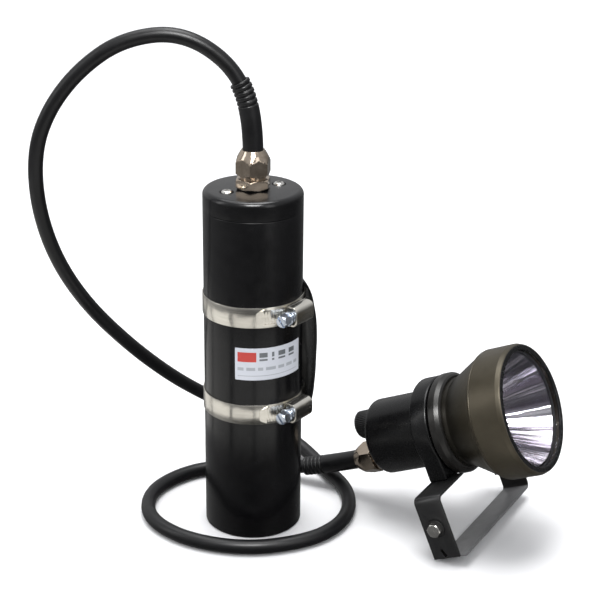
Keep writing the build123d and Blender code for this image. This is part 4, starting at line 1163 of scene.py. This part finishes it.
# ---------------------------------------------------------------- CAD nodes that keep their own shape
KEPT = {
    "lid_o_rings": SEAL_RUBBER, "battery_cells": CELL_WRAP, "cell_holders": HOLDER_PLASTIC,
    "pack_rods": BARE, "pack_nuts": ZINC, "protection_board": BOARD, "base_foam_pad": FOAM,
    "canister_leads": WIRE, "canister_cord_tail": CORD_RUBBER, "head_cord_tail": CORD_RUBBER,
    "canister_gland_seal": SEAL_RUBBER, "head_gland_seal": SEAL_RUBBER, "lens_o_ring": SEAL_RUBBER,
    "neck_o_ring": SEAL_RUBBER, "heat_sink": BARE, "led_board": BOARD, "led_emitter": EMITTER,
    "driver_board": BOARD, "collar_screws": STEEL, "switch_shaft": STEEL, "switch_cam": HOLDER_PLASTIC,
    "switch_o_ring": SEAL_RUBBER, "micro_switch": KNOB_PLASTIC, "head_leads": WIRE,
}
for node, material in KEPT.items():
    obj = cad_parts[node]
    obj.data.materials.clear()
    obj.data.materials.append(material)


# ---------------------------------------------------------------- floor, backdrop and light
def make_floor():
    """A pale sheet that reflections do not see."""
    size = 3000.0
    n = Nodes("floor_paper")
    colour = n.mix(n.spread(n.noise(3.0, 3.0), 0.0, 1.0), (0.86, 0.86, 0.87), (0.89, 0.89, 0.90))
    corners = [(-size, -size, 0), (size, -size, 0), (size, size, 0), (-size, size, 0)]
    floor = make_mesh("floor", corners, [(0, 1, 2, 3)])
    floor.data.materials.append(n.finish(Base_Color=colour, Roughness=0.65, Specular_IOR_Level=0.2,
                                         Normal=n.bump(n.noise(900.0, 3.0), 0.05, 0.0002)))
    floor.visible_glossy = False


def make_light(name, kind, strength, place, target, **values):
    """A light that looks from its place to its target, with the settings its kind needs."""
    data = bpy.data.lights.new(name, kind)
    data.energy = strength
    for key, value in values.items():
        setattr(data, key, value)
    lamp = new_object(name, data)
    lamp.location = place
    lamp.rotation_euler = (Vector(target) - Vector(place)).to_track_quat("-Z", "Y").to_euler()
    return lamp


def make_softbox(name, place, target, width, height, power):
    """A rectangular soft light."""
    return make_light(name, "AREA", power, place, target, shape="RECTANGLE", size=width, size_y=height)


# the walls' brightness by bearing in degrees
PANELS = ((-180, 0.85), (-157, 0.95), (-135, 0.75), (-108, 0.50), (-78, 0.18), (-40, 0.14), (-14, 0.55),
          (12, 0.30), (38, 0.15), (75, 0.25), (112, 0.55), (140, 0.75), (165, 0.85), (180, 0.85))
WALLS = [((bearing + 180) / 360, value) for bearing, value in PANELS]
CEILING = (0.80, 0.81, 0.83)
# from straight down at 0 to straight up at 1
CEILING_SHARE = [(0.0, 0.0), (0.58, 0.0), (0.78, 1.0), (1.0, 1.0)]
WALL_FOOT = [(0.0, 0.28), (0.46, 0.28), (0.54, 1.0), (1.0, 1.0)]
# as (from bearing, to bearing, near, far, value)
CARDS = ((-196, -166, 150, 540, 0.95), (-160, -112, 150, 530, 1.1), (-104, -58, 150, 500, 0.95),
         (-54, -8, 150, 520, 1.1), (4, 30, 230, 430, 0.5))


def make_world():
    """A studio that shows only in reflections: an even ceiling, and walls with pale and dark panels."""
    n = Nodes("studio", "worlds", "Background", "Generated")
    x, y, z = n.add("ShaderNodeSeparateXYZ", {"Vector": n.coords}).outputs
    bearing = n.math("MULTIPLY_ADD", n.math("ARCTAN2", y, x), 0.5 / math.pi, 0.5)
    height = n.math("MULTIPLY_ADD", z, 0.5, 0.5)
    walls = n.math("MULTIPLY", n.ramp(bearing, WALLS), n.ramp(height, WALL_FOOT))
    scene.world = n.finish(Color=n.mix(n.ramp(height, CEILING_SHARE), walls, CEILING), Strength=1.0)


def make_cards():
    """White cards on the ground round the object, seen only in reflections."""
    for k, (start, end, near, far, value) in enumerate(CARDS):
        verts = []
        for degrees in (start, (start + end) / 2, end):
            angle = math.radians(degrees)
            verts += [(reach * math.cos(angle), reach * math.sin(angle), 0.5) for reach in (near, far)]
        card = make_mesh(f"card_{k}", verts, [(0, 1, 3, 2), (2, 3, 5, 4)])
        card.data.materials.append(Nodes(f"card_{k}").finish(
            Base_Color=(0.0, 0.0, 0.0), Emission_Color=(1.0, 0.99, 0.96), Emission_Strength=value,
            Specular_IOR_Level=0.0))
        for ray in ("camera", "diffuse", "shadow", "transmission"):
            setattr(card, f"visible_{ray}", False)


make_floor()
make_world()
make_cards()
make_light("overhead", "SUN", 1.75, (-0.25, 0.15, 1.0), (0.0, 0.0, 0.0), angle=math.radians(50.0))
make_softbox("top_softbox", (0.0, 0.15, 1.3), (0.03, 0.02, 0.1), 0.55, 0.55, 7.0)
gloss = make_softbox("gloss_softbox", (0.38, -0.64, 1.07), (0.03, 0.0, 0.18), 0.50, 0.35, 20.0)
gloss.visible_diffuse = False
make_softbox("left_softbox", (-1.1, -0.9, 0.8), (0.0, 0.0, 0.15), 0.4, 1.1, 3.5)
make_softbox("right_softbox", (1.3, -0.5, 0.7), (0.1, 0.0, 0.15), 0.5, 1.1, 3.5)
scene.view_settings.view_transform = "Standard"
